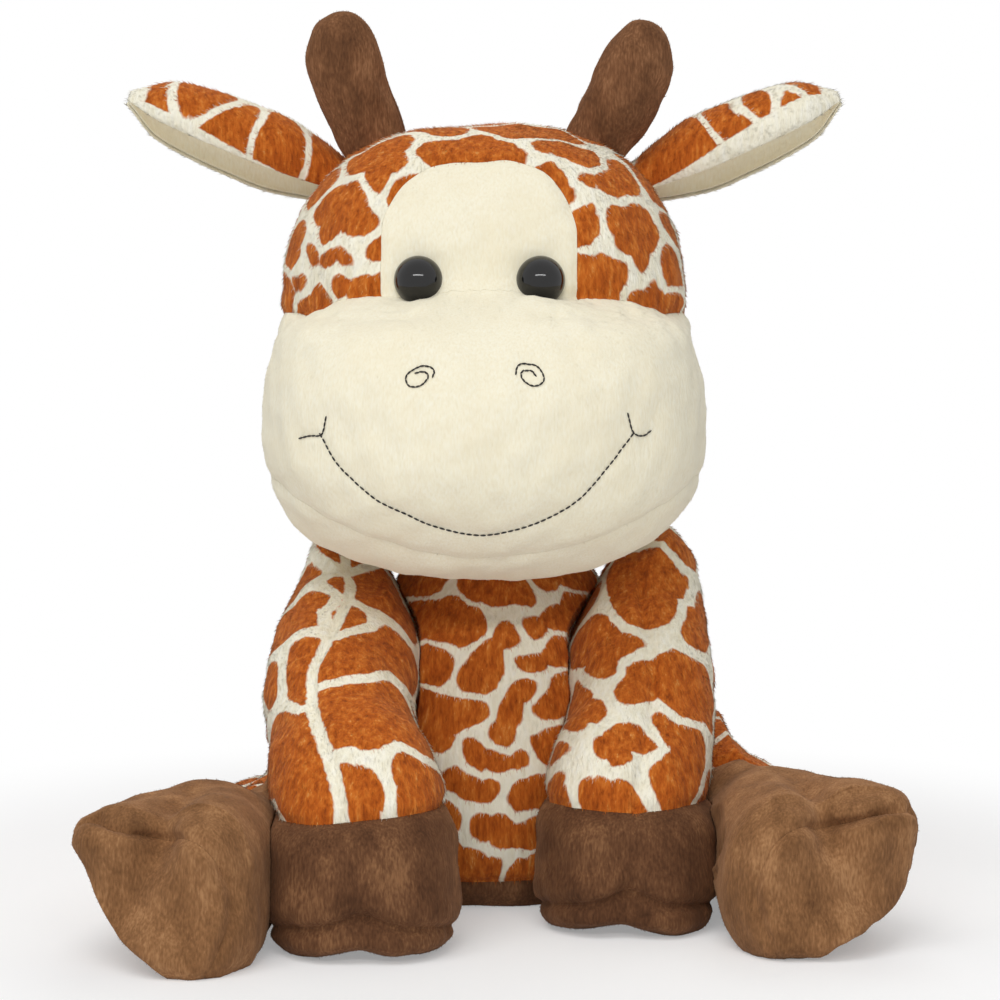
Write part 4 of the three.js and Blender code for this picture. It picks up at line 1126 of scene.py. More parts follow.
def buildHindLeg(side):
    skin = hindSkin(side)
    points, fields = skin["points"], skin["fields"]
    ankle, sole = hindEnds(side)
    forward = unit(sole - ankle)
    length = np.linalg.norm(sole - ankle)
    acrossWay = side * np.cross((0, 0, 1), forward)

    def onSole():
        # outward and up from the sole's middle, seen from in front
        return (points - sole) @ acrossWay, points[:, 2] - sole[2]

    along = (points - ankle) @ forward
    normals = normalsOf(skin)
    top = smoothStep(fields["toeward"], 0.0, 0.55)
    # the thigh sinks behind the hoof, as far as the photo shows
    nearer = (view["distance"] + points[:, 1]) / view["distance"]
    limit = np.interp(side * points[:, 0] / nearer, hindSeams["thighX"][side], hindSeams["thighTop"][side])
    limit = view["height"] - (view["height"] - limit) * nearer
    sink = 0.9 * np.maximum(points[:, 2] - limit, 0) * (1 - smoothStep(along, -8, 10))
    points[:, 2] -= sink
    swell = swollen(points, hindLeg["waves"], side)
    ankleFold = 1.4 * hump(along + 4, 9)
    hoof = smoothStep(along, 6, length * 0.7)
    cleft = hump(fields["across"] + 0.05 * side, 0.2) * top * hoof
    lobes = hump(np.abs(fields["across"]) - 0.55, 0.36) * top * hoof
    points += normals * (swell - ankleFold + 1.6 * lobes - hindSeams["cleft"] * cleft)[:, None]
    # seen from in front the hoof is a heart: its outer lobe is pointed, and below it the outline runs in
    out, up = onSole()
    rim = smoothStep(along, length * 0.15, length * 0.9)
    turn = bearing(up, out)
    base, more = hindSeams["cornerCut"][side]
    limit = base + more * hump(np.where(turn < 140, turn + 360, turn) - hindSeams["cutMiddle"][side], 44)
    beyond = np.maximum(0.764 * out - 0.647 * up - limit, 0) * rim * 0.88
    shell = smoothStep(np.hypot(out, up), 8, 27) * rim
    corner = hindSeams["corner"][side] * hump(turn - 36, 22) * shell
    heel = hindSeams["heel"] * hump(turn - 228, 30) * shell
    points += (0.8 * corner - 0.72 * heel - 0.764 * beyond)[:, None] * acrossWay
    points[:, 2] += 0.6 * corner - 0.7 * heel + 0.647 * beyond
    points[:, 2] -= hindSeams["lobeDrop"][side] * hump(turn - 62, 30) * shell
    out, up = onSole()
    along = (points - ankle) @ forward
    middle = hindSeams["heartMiddle"]
    turn = bearing(up - middle[1], out - middle[0])
    radii = np.interp(np.linspace(0, 360, 37), hindSeams["heartAngles"], hindSeams["heartRadii"])
    heart = shareAlong(radii, turn / 360) - np.hypot(out - middle[0], up - middle[1])
    fields["soleSeam"] = np.minimum(along - (length - hindLeg["soleThickness"]), heart)
    seamBack = hindSeams["seamBack"] + hindSeams["seamTurn"][side] * (1 - smoothStep(side * points[:, 0], 68, 94))
    fields["hoofSeam"] = along + seamBack + 1.0 * lumps(points, 36, 55)
    fields["heart"] = heart
    cutAlong(skin, "hoofSeam")
    cutAlong(skin, "soleSeam")
    points = skin["points"]
    along = (points - ankle) @ forward
    normals = normalsOf(skin)
    front = smoothStep(along, length - 12, length - 1.5)
    out, up = onSole()
    # above the sole the hoof leans back; the sole bulges, with a valley below its cleft
    a, b = (np.array(end) for end in hindSeams["valley"])
    offset = np.stack([out, up], axis=1) - a
    share = np.clip(offset @ (b - a) / ((b - a) @ (b - a)), 0, 1)
    apart = np.linalg.norm(offset - share[:, None] * (b - a), axis=1)
    valley = hindSeams["valleyDepth"] * (1 - 0.45 * share) * hump(apart, hindSeams["valleyWidth"])
    bulge = hindSeams["bulge"] * np.maximum(1 - ((out + 6) ** 2 + (up + 5) ** 2) / 30**2, 0)
    lean = hindSeams["leanBack"] * smoothStep(-fields["heart"], -3, 11)
    push = hindSeams["toePush"] * smoothStep(-up, 2, 22) * (1 - smoothStep(out, 4, 22))
    points += forward * (front * (bulge + push - valley - lean))[:, None]
    # the outer lobe folds down along the seam
    turn = bearing(up - middle[1], out - middle[0])
    fold = hindSeams["fold"][side] * np.exp(-((fields["heart"] / 2.2) ** 2) - ((turn - 52) / 22) ** 2)
    down = groove(fields["hoofSeam"], seam["hoof"]) + fold
    down += groove(fields["soleSeam"], *seam["sole"]) * (0.15 + 0.85 * smoothStep(points[:, 2], 1, 9))
    points += normals * (puffed(skin, hindSeams) - down)[:, None]
    flattened(skin, (side, 0, 0), hindSeams["flatX"])
    onFloor(skin)
    layNap(skin, fields["alongAxis"])
    return skin


# horns, tail and neck
def buildHorn(side):
    base, tip = np.array(horn["base"][side]), np.array(horn["tip"][side])
    limb = dict(horn)
    middle = (base + tip) / 2 + np.array([side * horn["bow"], 0, 0])
    limb["spine"] = [base - unit(tip - base) * 8, middle, tip]
    skin = limbSkin(limb)
    points, fields = skin["points"], skin["fields"]
    normals = normalsOf(skin)
    # a seam up each side
    sideSeam = groove(fields["toeward"] * horn["halfDepth"], 0.9, 1.4)
    points += normals * (0.7 * lumps(points, 22, 71 + side) + 0.3 * lumps(points, 8, 73) - sideSeam)[:, None]
    layNap(skin, fields["alongAxis"])
    return skin


def swollenLimb(form, floor=0.0):
    skin = limbSkin(form)
    skin["points"] += normalsOf(skin) * swollen(skin["points"], form["waves"])[:, None]
    onFloor(skin, floor)
    layNap(skin, skin["fields"]["alongAxis"])
    return skin


# ears: two leaves of cloth sewn round their edge
ear = {
    "halfWidth": 15.0,
    "rise": 14.0,
    "widthShares": [0.55, 0.8, 1, 1, 0.95, 0.8, 0.4],
    "tipX": {-1: -122.0, 1: 113.5},
    "frontAngle": math.radians(108),
    "backAngle": math.radians(150),
    "rootShare": -0.08,
    "tipRound": 0.8,
    "printEnd": {-1: (31.0, 21.0), 1: (28.0, 14.0)},
    "printBack": 33.0,
    "liningPuff": 0.62,
    "rows": 170,
    "columns": 130,
}


def earSheet(side, outer, inner, puff=0.0):
    # a leaf from one depth to another, closed round its edge. A lining puffs into the fold
    base = np.array([-2 + side * 53, 6, 236.0])
    tip = np.array([ear["tipX"][side], 0, 263.0])
    outwardWay = unit(tip - base)
    forward = unit(np.array([0, -1.0, 0]) + outwardWay * outwardWay[1])
    up = np.cross(forward, outwardWay) * side
    rows, columns = ear["rows"], ear["columns"]
    t = np.linspace(0, 1, rows + 1)[:, None]
    across = np.linspace(-1, 1, columns + 1)[None]
    share = shareAlong(ear["widthShares"], t) * np.sqrt(1 - 0.97 * smoothStep(t, ear["tipRound"], 1.06) ** 2)
    angle = across * np.where(across < 0, ear["backAngle"], ear["frontAngle"])
    middle = base + (tip - base) * (ear["rootShare"] + (1 - ear["rootShare"]) * t)[..., None]

    def layer(depth):
        half, rise = ear["halfWidth"] * share - depth, ear["rise"] * share - depth
        return middle + forward * (np.sin(angle) * half)[..., None] + up * (np.cos(angle) * rise)[..., None]

    edge = np.minimum(1 - np.abs(across), np.minimum(1 - t, t + 0.4) * 2.2)
    round_ = np.sqrt(np.clip(1 - (1 - np.clip(edge / 0.09, 0, 1)) ** 2, 0, 1))
    room = ear["rise"] * share - inner
    inner = inner + puff * np.maximum(room, 0) * smoothStep(edge, 0, 0.3)
    thick = (inner - outer) / 2
    centre = outer + thick
    top = layer(centre - thick * round_)
    low = layer(centre + thick * round_)
    count = (rows + 1) * (columns + 1)
    index = np.arange(count).reshape(rows + 1, columns + 1)
    a, b, c, d = index[:-1, :-1], index[1:, :-1], index[1:, 1:], index[:-1, 1:]
    upper = np.concatenate([np.stack([a, b, c], -1).reshape(-1, 3), np.stack([a, c, d], -1).reshape(-1, 3)])
    lower = upper[:, ::-1] + count
    rim = np.zeros((rows + 1, columns + 1), bool)
    rim[0], rim[-1], rim[:, 0], rim[:, -1] = True, True, True, True
    joined = np.arange(2 * count)
    joined[count:][rim.ravel()] = np.nonzero(rim.ravel())[0]
    faces = joined[np.concatenate([upper, lower])]
    points = np.concatenate([top.reshape(-1, 3), low.reshape(-1, 3)])
    used, compact = np.unique(faces, return_inverse=True)
    skin = {"points": points[used], "faces": compact.reshape(-1, 3), "fields": {}}
    for key, value in (("place", t), ("round", angle * ear["halfWidth"])):
        flat = np.broadcast_to(value, (rows + 1, columns + 1)).ravel()
        skin["fields"][key] = np.concatenate([flat, flat])[used]
    outward(skin)
    layNap(skin, np.tile(outwardWay, (len(used), 1)))
    return skin


# how the pieces swing, so that each stays clear of its neighbours
swing = {
    "nod": [0, -9, -18],
    "turn": [-14, 0, 14],
    "shoulder": {-1: [12, 0, -18], 1: [4, 0, -15, -30]},
    "hip": [0, 9, 18],
    "gap": 0.5,
}


def turned(points, pivot, axis, degrees):
    a = math.radians(degrees)
    c, s = math.cos(a), math.sin(a)
    i, j = {"x": (1, 2), "y": (2, 0), "z": (0, 1)}[axis]
    moved = points - pivot
    out = moved.copy()
    out[:, i] = moved[:, i] * c - moved[:, j] * s
    out[:, j] = moved[:, i] * s + moved[:, j] * c
    return out + pivot


def obstacle(points, faces):
    tree = BVHTree.FromPolygons(points.tolist(), faces.tolist())
    return {"tree": tree, "low": points.min(axis=0), "high": points.max(axis=0)}


def headPlaces():
    # a plain head, a little too large, in each place that the neck takes it to
    way, faces = ballSkin(5)
    points = head["star"] + way * (headReach(way, 30) + 1.2)
    faces = outward({"points": points, "faces": faces})["faces"]
    places = []
    for nod in swing["nod"]:
        for turn in swing["turn"]:
            nodded = turned(points, neck["centre"], "x", nod)
            places.append(turned(nodded, neck["centre"], "z", turn))
    return places, faces


def keepClear(skin, obstacles, core=None):
    # aside towards its own core, or down where none is given
    inward = np.tile(downward, (len(skin["points"]), 1)) if core is None else unit(core - skin["points"])
    for other in obstacles:
        clearOf(skin, other, inward, swing["gap"])


def pivotOf(limb, side):
    x, y, z = limb["pivot"]
    return np.array([side * x, y, z])


# shader groups
pile = {
    "streak": (520.0, 520.0, 110.0),
    "fine": (1500.0, 1500.0, 420.0),
    "patch": (62.0, 62.0, 62.0),
    "brush": (90.0, 90.0, 45.0),
    "relief": 0.0011,
}


def noiseNode(tree, scale, detail=2.0, roughness=0.5):
    place = addNode(tree, "ShaderNodeTexCoord").outputs["Object"]
    mapped = addNode(tree, "ShaderNodeMapping", {"Vector": place, "Scale": scale}).outputs["Vector"]
    inputs = {"Vector": mapped, "Scale": 1.0, "Detail": detail, "Roughness": roughness}
    return addNode(tree, "ShaderNodeTexNoise", inputs).outputs["Fac"]


def bumpNode(tree, height, strength, distance):
    inputs = {"Height": height, "Strength": strength, "Distance": distance}
    return addNode(tree, "ShaderNodeBump", inputs).outputs["Normal"]


def pileGroup():
    # streaks of the pile, fine fleck and brushed patches, each from 0 to 1, and a normal bumped by the relief
    tree = bpy.data.node_groups.new("pileLook", "ShaderNodeTree")
    tree.interface.new_socket("Relief", in_out="INPUT", socket_type="NodeSocketFloat")
    relief = addNode(tree, "NodeGroupInput").outputs["Relief"]
    streak = noiseNode(tree, pile["streak"], 2.0)
    fine = noiseNode(tree, pile["fine"], 1.0)
    patch = noiseNode(tree, pile["patch"], 2.5, 0.55)
    normal = bumpNode(tree, mathNode(tree, "ADD", streak, fine), relief, pile["relief"])
    looks = {"Streak": streak, "Fine": fine, "Patch": patch, "Normal": normal}
    for label in looks:
        kind = "NodeSocketVector" if label == "Normal" else "NodeSocketFloat"
        tree.interface.new_socket(label, in_out="OUTPUT", socket_type=kind)
    addNode(tree, "NodeGroupOutput", looks)
    return tree


def linear(colour):
    # a colour as it looks on a screen, 0 to 255, as the renderer's own values
    return [(c / 255 / 12.92) if c / 255 <= 0.04045 else ((c / 255 + 0.055) / 1.055) ** 2.4 for c in colour]


def ramp(tree, factor, stops):
    node = addNode(tree, "ShaderNodeValToRGB", {"Fac": factor})
    elements = node.color_ramp.elements
    while len(elements) < len(stops):
        elements.new(0.5)
    for element, (position, colour) in zip(elements, stops):
        element.position = position
        element.color = (*linear(colour), 1)
    return node.outputs["Color"]


def mixColours(tree, factor, first, second):
    return addNode(tree, "ShaderNodeMix", {"Factor": factor, 6: first, 7: second}, data_type="RGBA").outputs[2]


def mapRange(tree, value, low, high, toLow=0.0, toHigh=1.0):
    inputs = {"Value": value, "From Min": low, "From Max": high, "To Min": toLow, "To Max": toHigh}
    return addNode(tree, "ShaderNodeMapRange", inputs).outputs["Result"]


def plus(tree, base, added, share, middle=0.0):
    # base, and a share of how far the other value is from its middle
    off = mathNode(tree, "SUBTRACT", added, middle)
    return mathNode(tree, "ADD", base, mathNode(tree, "MULTIPLY", off, share))


def pileMaterial(name, colourOf, relief, sheen, sheenTint):
    # the colour is worked out by colourOf from the shared look of the pile
    material, tree = newMaterial(name)
    look = addNode(tree, "ShaderNodeGroup", {"Relief": relief}, node_tree=lookGroup).outputs
    tone = addNode(tree, "ShaderNodeAttribute", attribute_name="tone").outputs["Fac"]
    inputs = {"Base Color": colourOf(tree, look, tone), "Normal": look["Normal"], "Roughness": 0.9}
    inputs |= {"Specular IOR Level": 0.15, "Sheen Weight": sheen, "Sheen Roughness": 0.6}
    principled(tree, inputs | {"Sheen Tint": (*linear(sheenTint), 1)})
    return material


def creamColour(tree, look, tone):
    stops = [(0.2, (243, 234, 206)), (0.5, (248, 241, 216)), (0.8, (251, 246, 226))]
    base = ramp(tree, plus(tree, look["Fine"], tone, 0.2, 0.5), stops)
    return mixColours(tree, mapRange(tree, look["Patch"], 0.42, 0.7, 0.0, 0.35), base, (*linear((244, 233, 202)), 1))


def lineColour(tree, look, tone):
    stops = [(0.2, (238, 230, 204)), (0.5, (249, 244, 224)), (0.8, (252, 249, 236))]
    return ramp(tree, plus(tree, look["Streak"], tone, 0.3, 0.5), stops)


def spotColour(tree, look, tone):
    both = plus(tree, plus(tree, look["Streak"], look["Fine"], 0.4), tone, 0.4, 1.0)
    stops = [(0.15, (134, 60, 14)), (0.4, (176, 85, 22)), (0.55, (194, 101, 31)), (0.7, (210, 121, 46))]
    return ramp(tree, both, stops + [(0.88, (232, 172, 102))])


def patternColour(tree, look, tone):
    inside = addNode(tree, "ShaderNodeAttribute", attribute_name="spot").outputs["Fac"]
    edge = mapRange(tree, plus(tree, inside, look["Streak"], 1.5, 0.5), -0.25, 0.3)
    return mixColours(tree, edge, lineColour(tree, look, tone), spotColour(tree, look, tone))


def brownColour(stops):
    def colourOf(tree, look, tone):
        brush = mathNode(tree, "MULTIPLY", noiseNode(tree, pile["brush"], 3.0, 0.6), 0.72)
        return ramp(tree, plus(tree, plus(tree, brush, look["Fine"], 0.4), tone, 0.22, 0.5), stops)

    return colourOf


# one brown minky in three copies; the first is darker with painted shade, for the front hooves, the seat and the tuft
brownWithPaintedShade = [(0.3, (62, 38, 24)), (0.48, (88, 57, 37)), (0.6, (106, 71, 47)), (0.75, (138, 98, 66))]
hornBrown = [(0.3, (76, 48, 31)), (0.48, (103, 68, 44)), (0.6, (124, 84, 56)), (0.75, (156, 112, 78))]
# the last copy is lighter with painted light, for the hind hooves and soles
brownWithPaintedLight = [(0.3, (92, 61, 37)), (0.48, (120, 83, 52)), (0.6, (140, 99, 64)), (0.75, (170, 126, 86))]


def eyeMaterial():
    material, tree = newMaterial("eyeBlack")
    smear = noiseNode(tree, (180.0,) * 3)
    colour = ramp(tree, smear, [(0.3, (7, 6, 6)), (0.7, (12, 10, 10))])
    rough = mapRange(tree, smear, 0.2, 0.8, 0.04, 0.1)
    principled(tree, {"Base Color": colour, "Roughness": rough, "Specular IOR Level": 0.5})
    return material


def threadMaterial():
    material, tree = newMaterial("blackThread")
    twist = noiseNode(tree, (2600.0,) * 3, 1.0)
    colour = ramp(tree, twist, [(0.3, (14, 11, 10)), (0.7, (38, 31, 28))])
    principled(tree, {"Base Color": colour, "Normal": bumpNode(tree, twist, 0.4, 0.0002), "Roughness": 0.62})
    return material


def wovenMaterial(name, dark, light, scale):
    # a plain weave, for the cloth of the pellet bag
    material, tree = newMaterial(name)
    place = addNode(tree, "ShaderNodeTexCoord").outputs["Object"]
    threads = addNode(tree, "ShaderNodeTexChecker", {"Vector": place, "Scale": scale}).outputs["Fac"]
    weave = plus(tree, mathNode(tree, "MULTIPLY", threads, 0.3), noiseNode(tree, (120.0,) * 3, 3.0), 0.8)
    colour = ramp(tree, weave, [(0.2, dark), (0.8, light)])
    principled(tree, {"Base Color": colour, "Normal": bumpNode(tree, weave, 0.5, 0.0003), "Roughness": 0.85})
    return material


def washerMaterial():
    material, tree = newMaterial("washerPlastic")
    grain = noiseNode(tree, (900.0,) * 3)
    colour = ramp(tree, grain, [(0.3, (222, 222, 216)), (0.7, (238, 238, 233))])
    principled(tree, {"Base Color": colour, "Roughness": mapRange(tree, grain, 0.2, 0.8, 0.4, 0.55)})
    return material


# Geometry Nodes: the pile that grows on a skin, and the stitches along a line
pileCut = {
    "printed_plush": {"density": 0.92, "length": 1.9, "width": 0.32, "lift": 0.36, "jitter": 0.26},
    "cream_plush": {"density": 0.96, "length": 1.1, "width": 0.26, "lift": 0.26, "jitter": 0.3},
    "brown_minky": {"density": 1.04, "length": 1.05, "width": 0.26, "lift": 0.34, "jitter": 0.4},
}
pileWay = {"sink": 0.25, "seed": 5, "quickDensity": 0.25, "quickWidth": 1.7}
stitch = {
    "pitch": {"mouth": 2.1, "rightTick": 1.7, "leftTick": 1.7, "rightNostril": 1.5, "leftNostril": 1.5},
    "share": {"mouth": 0.88, "rightTick": 1.1, "leftTick": 1.1, "rightNostril": 1.12, "leftNostril": 1.12},
    "radius": 0.28,
    "lift": 0.2,
    "groove": 0.8,
    "grooveWidth": 1.1,
}


def newGeometryTree(name, sockets):
    tree = bpy.data.node_groups.new(name, "GeometryNodeTree")
    for label, kind in sockets:
        tree.interface.new_socket(label, in_out="INPUT", socket_type="NodeSocket" + kind)
    tree.interface.new_socket("Geometry", in_out="OUTPUT", socket_type="NodeSocketGeometry")
    return tree, addNode(tree, "NodeGroupInput").outputs


def scaleVector(tree, vector, share):
    return addNode(tree, "ShaderNodeVectorMath", {0: vector, 3: share}, operation="SCALE").outputs[0]


def addVectors(tree, first, second):
    return addNode(tree, "ShaderNodeVectorMath", {0: first, 1: second}, operation="ADD").outputs[0]


def readField(tree, name, kind):
    return addNode(tree, "GeometryNodeInputNamedAttribute", {"Name": name}, data_type=kind).outputs["Attribute"]


def storeField(tree, points, name, value, kind):
    inputs = {"Geometry": points, "Name": name, "Value": value}
    return addNode(tree, "GeometryNodeStoreNamedAttribute", inputs, data_type=kind, domain="POINT").outputs["Geometry"]


def strung(tree, points, shape, way, stretch, material):
    # the shape on each of the points, turned along its way and stretched
    turn = addNode(tree, "FunctionNodeAlignRotationToVector", {"Vector": way}, axis="Z").outputs["Rotation"]
    scale = addNode(tree, "ShaderNodeCombineXYZ", {"X": 1.0, "Y": 1.0, "Z": stretch}).outputs["Vector"]
    inputs = {"Points": points, "Instance": shape, "Rotation": turn, "Scale": scale}
    placed = addNode(tree, "GeometryNodeInstanceOnPoints", inputs).outputs["Instances"]
    real = addNode(tree, "GeometryNodeRealizeInstances", {"Geometry": placed}).outputs["Geometry"]
    painted = addNode(tree, "GeometryNodeSetMaterial", {"Geometry": real, "Material": material})
    addNode(tree, "NodeGroupOutput", {"Geometry": painted.outputs["Geometry"]})


def pileTree():
    sockets = [("Geometry", "Geometry"), ("Density", "Float"), ("Length", "Float"), ("Width", "Float")]
    sockets += [("Lift", "Float"), ("Jitter", "Float"), ("Seed", "Int"), ("Material", "Material")]
    tree, given = newGeometryTree("shortPile", sockets)
    density = mathNode(tree, "MULTIPLY", given["Density"], readField(tree, "pile", "FLOAT"))
    inputs = {"Mesh": given["Geometry"], "Density": density, "Seed": given["Seed"]}
    spread = addNode(tree, "GeometryNodeDistributePointsOnFaces", inputs, distribute_method="RANDOM").outputs
    inputs = {"Min": (-1, -1, -1), "Max": (1, 1, 1), "Seed": given["Seed"]}
    stray = addNode(tree, "FunctionNodeRandomValue", inputs, data_type="FLOAT_VECTOR").outputs["Value"]
    lift = scaleVector(tree, spread["Normal"], given["Lift"])
    lifted = addVectors(tree, readField(tree, "nap", "FLOAT_VECTOR"), lift)
    way = addVectors(tree, lifted, scaleVector(tree, stray, given["Jitter"]))
    tone = addNode(tree, "FunctionNodeRandomValue", {"Seed": 11}, data_type="FLOAT").outputs[1]
    points = storeField(tree, spread["Points"], "tone", tone, "FLOAT")
    points = storeField(tree, points, "skinNormal", spread["Normal"], "FLOAT_VECTOR")
    half = mathNode(tree, "MULTIPLY", given["Width"], 0.5)
    inputs = {"Vertices": 3, "Radius Top": 0.0, "Radius Bottom": half, "Depth": given["Length"]}
    cone = addNode(tree, "GeometryNodeMeshCone", inputs, fill_type="NONE").outputs["Mesh"]
    size = addNode(tree, "FunctionNodeRandomValue", {2: 0.65, 3: 1.25, "Seed": 23}, data_type="FLOAT").outputs[1]
    strung(tree, points, cone, way, size, given["Material"])
    return tree


def stitchTree():
    # short threads one after another along a line
    sockets = [("Geometry", "Geometry"), ("Pitch", "Float"), ("Share", "Float"), ("Radius", "Float")]
    tree, given = newGeometryTree("stitches", sockets + [("Material", "Material")])
    curve = addNode(tree, "GeometryNodeMeshToCurve", {"Mesh": given["Geometry"]}).outputs["Curve"]
    inputs = {"Curve": curve, "Length": given["Pitch"]}
    steps = addNode(tree, "GeometryNodeResampleCurve", inputs, mode="LENGTH").outputs["Curve"]
    along = addNode(tree, "GeometryNodeInputTangent").outputs["Tangent"]
    inputs = {"Segments": 10, "Rings": 12, "Radius": given["Radius"]}
    ball = addNode(tree, "GeometryNodeMeshUVSphere", inputs).outputs["Mesh"]
    long = mathNode(tree, "MULTIPLY", given["Pitch"], given["Share"])
    stretch = mathNode(tree, "DIVIDE", long, mathNode(tree, "MULTIPLY", given["Radius"], 2.0))
    strung(tree, steps, ball, along, stretch, given["Material"])
    return tree


def grownOn(source, tree, values):
    # what the tree makes on an object, as a plain mesh
    modifier = source.modifiers.new(tree.name, "NODES")
    modifier.node_group = tree
    names = {item.name: item.identifier for item in tree.interface.items_tree if item.in_out == "INPUT"}
    for label, value in values.items():
        modifier[names[label]] = value
    source.update_tag()
    graph = bpy.context.evaluated_depsgraph_get()
    mesh = bpy.data.meshes.new_from_object(source.evaluated_get(graph), preserve_all_data_layers=True, depsgraph=graph)
    source.modifiers.remove(modifier)
    return mesh


pileParts = {}


def growPile(source, body, slotName, material, density=1.0):
    # the strands of one panel, kept until the body's panels are all made
    cut = pileCut[slotName]
    values = {
        "Density": cut["density"] * density / mm**2 * 1,
        "Length": cut["length"] * mm,
        "Width": cut["width"] * mm * 1,
        "Lift": cut["lift"],
        "Jitter": cut["jitter"],
        "Seed": pileWay["seed"],
        "Material": material,
    }
    mesh = grownOn(source, pileGrower, values)
    part = {
        "points": arrayOf(mesh.vertices, "co", 3),
        "faces": arrayOf(mesh.loops, "vertex_index", 1, np.int32).reshape(-1, 3),
        "tone": arrayOf(mesh.attributes["tone"].data, "value", 1),
        "normal": arrayOf(mesh.attributes["skinNormal"].data, "vector", 3),
    }
    if "spot" in mesh.attributes:
        part["spot"] = arrayOf(mesh.attributes["spot"].data, "value", 1)
    part["points"] -= part["normal"] * pileWay["sink"] * mm
    pileParts.setdefault((body, slotName), {"material": material, "parts": []})["parts"].append(part)
    bpy.data.meshes.remove(mesh)


def strandMap(mesh, count):
    # every strand has a small place of its own in the map
    side = math.ceil(math.sqrt(count))
    index = np.arange(count)
    corner = np.stack([index % side, index // side], axis=1)[:, None, None, :]
    shape = np.array([[0.0, 0.1], [0.22, 0.1], [0.11, 0.9]])
    places = np.broadcast_to(corner + shape, (count, 3, 3, 2)).copy()
    places[..., 0] += (np.arange(3) * 0.3 + 0.05)[:, None]
    layer = mesh.uv_layers.new(name="OFBake")
    layer.data.foreach_set("uv", (places / side).astype(np.float32).ravel())


def finishPile(body, slotName):
    grown = pileParts.pop((body, slotName))
    parts = grown["parts"]
    starts = np.cumsum([0] + [len(part["points"]) for part in parts[:-1]])
    points = np.vstack([part["points"] for part in parts])
    faces = np.vstack([part["faces"] + start for part, start in zip(parts, starts)])
    fields = {"tone": np.concatenate([part["tone"] for part in parts])}
    if "spot" in parts[0]:
        fields["spot"] = np.concatenate([part["spot"] for part in parts])
    name = body + "_" + slotName.split("_")[0] + "_pile"
    made = makeObject(name, {"points": points / mm, "faces": faces, "fields": fields}, grown["material"])
    normals = np.vstack([part["normal"] for part in parts])
    made.data.normals_split_custom_set_from_vertices(normals.tolist())
    strandMap(made.data, len(faces) // 3)
    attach(made, body)
    print(name, len(faces), "triangles")


# the toy, piece by piece
sideNames = {-1: "right", 1: "left"}

# the spots that the photo shows, each as a few points of it
crownSpots = [
    [(365, 160), (390, 150), (400, 166), (385, 182)],
    [(325, 205), (350, 203), (330, 232), (358, 228)],
    [(312, 255), (330, 256), (348, 256)],
    [(340, 278), (360, 286), (375, 297), (382, 280)],
    [(374, 252)],
    [(300, 240), (296, 260)],
    [(300, 304), (320, 299), (338, 304)],
    [(288, 292), (298, 281)],
    [(322, 190), (333, 170)],
    [(399, 190), (413, 180)],
    [(415, 128), (435, 130), (455, 131)],
    [(432, 155), (455, 147), (480, 145), (505, 149), (517, 157)],
    [(497, 130), (520, 134), (540, 134)],
    [(540, 148), (560, 152), (582, 161)],
    [(547, 171), (560, 182), (568, 193)],
    [(583, 180), (605, 182), (630, 181)],
    [(582, 213), (590, 225), (582, 236)],
    [(620, 225), (641, 218), (655, 240), (640, 262), (625, 245)],
    [(582, 265), (600, 266), (617, 275), (586, 291), (605, 291)],
    [(640, 300), (655, 290), (670, 305)],
    [(668, 255), (673, 276)],
    [(646, 184), (656, 200)],
    [(664, 222)],
]
torsoSpots = [
    [(397, 590), (427, 581)],
    [(480, 586), (502, 592), (527, 592)],
    [(543, 580), (568, 573)],
    [(422, 614), (450, 618), (470, 624)],
    [(532, 628), (552, 618), (570, 605)],
    [(475, 680), (492, 660), (514, 637)],
    [(418, 653), (438, 667)],
    [(530, 661), (552, 650), (570, 641)],
    [(427, 712), (452, 715), (474, 712), (437, 742)],
    [(503, 734), (513, 712), (526, 690)],
    [(547, 704), (562, 687), (575, 674)],
    [(477, 758), (498, 759), (520, 757)],
    [(536, 751), (555, 740), (570, 727)],
    [(450, 777), (468, 783), (487, 789)],
    [(522, 799), (540, 793), (555, 785)],
    [(424, 765)],
    [(433, 803), (447, 816), (458, 826)],
    [(477, 826), (502, 830), (530, 831)],
    [(452, 848), (472, 860), (495, 870)],
    [(519, 872), (537, 866)],
]
forelegSpots = {
    -1: [
        [(285, 626), (303, 612), (318, 600)],
        [(297, 590), (312, 574)],
        [(268, 655), (271, 686)],
        [(294, 668), (303, 690)],
        [(280, 730), (300, 730), (280, 762), (304, 762), (295, 793), (314, 803)],
        [(267, 812)],
        [(341, 585), (345, 605), (340, 622)],
        [(372, 578), (385, 595), (400, 616)],
        [(340, 655), (365, 642), (393, 645), (408, 662)],
        [(342, 708), (365, 700), (392, 705), (346, 735), (375, 740), (402, 731)],
        [(346, 783), (364, 783), (352, 802)],
        [(401, 768), (415, 784), (428, 798)],
        [(335, 553), (352, 560)],
    ],
    1: [
        [(618, 577), (636, 590), (647, 611), (662, 570), (678, 588), (670, 606)],
        [(590, 640), (608, 645), (625, 650), (605, 667)],
        [(592, 600), (583, 613)],
        [(641, 670), (634, 690), (655, 672), (670, 668), (688, 682), (705, 700), (680, 702)],
        [(581, 698), (591, 714), (577, 730)],
        [(596, 745), (615, 738), (637, 740), (618, 764)],
        [(566, 750)],
        [(562, 778), (567, 792)],
        [(582, 790), (600, 788), (619, 786)],
        [(684, 548), (697, 566)],
        [(692, 622), (702, 610)],
        [(664, 728), (682, 738), (666, 770), (690, 775)],
        [(712, 638), (716, 660)],
        [(717, 742), (712, 766)],
        [(706, 803)],
    ],
}
earSpots = {
    -1: [
        [(152, 94), (165, 99)],
        [(183, 98), (200, 104)],
        [(216, 126), (235, 134)],
        [(272, 148), (290, 158)],
        [(322, 166), (332, 174)],
    ],
    1: [
        [(812, 90), (822, 93)],
        [(791, 112), (798, 106)],
        [(762, 113), (775, 122)],
        [(730, 128), (748, 128)],
        [(672, 158), (692, 150), (708, 145)],
    ],
}


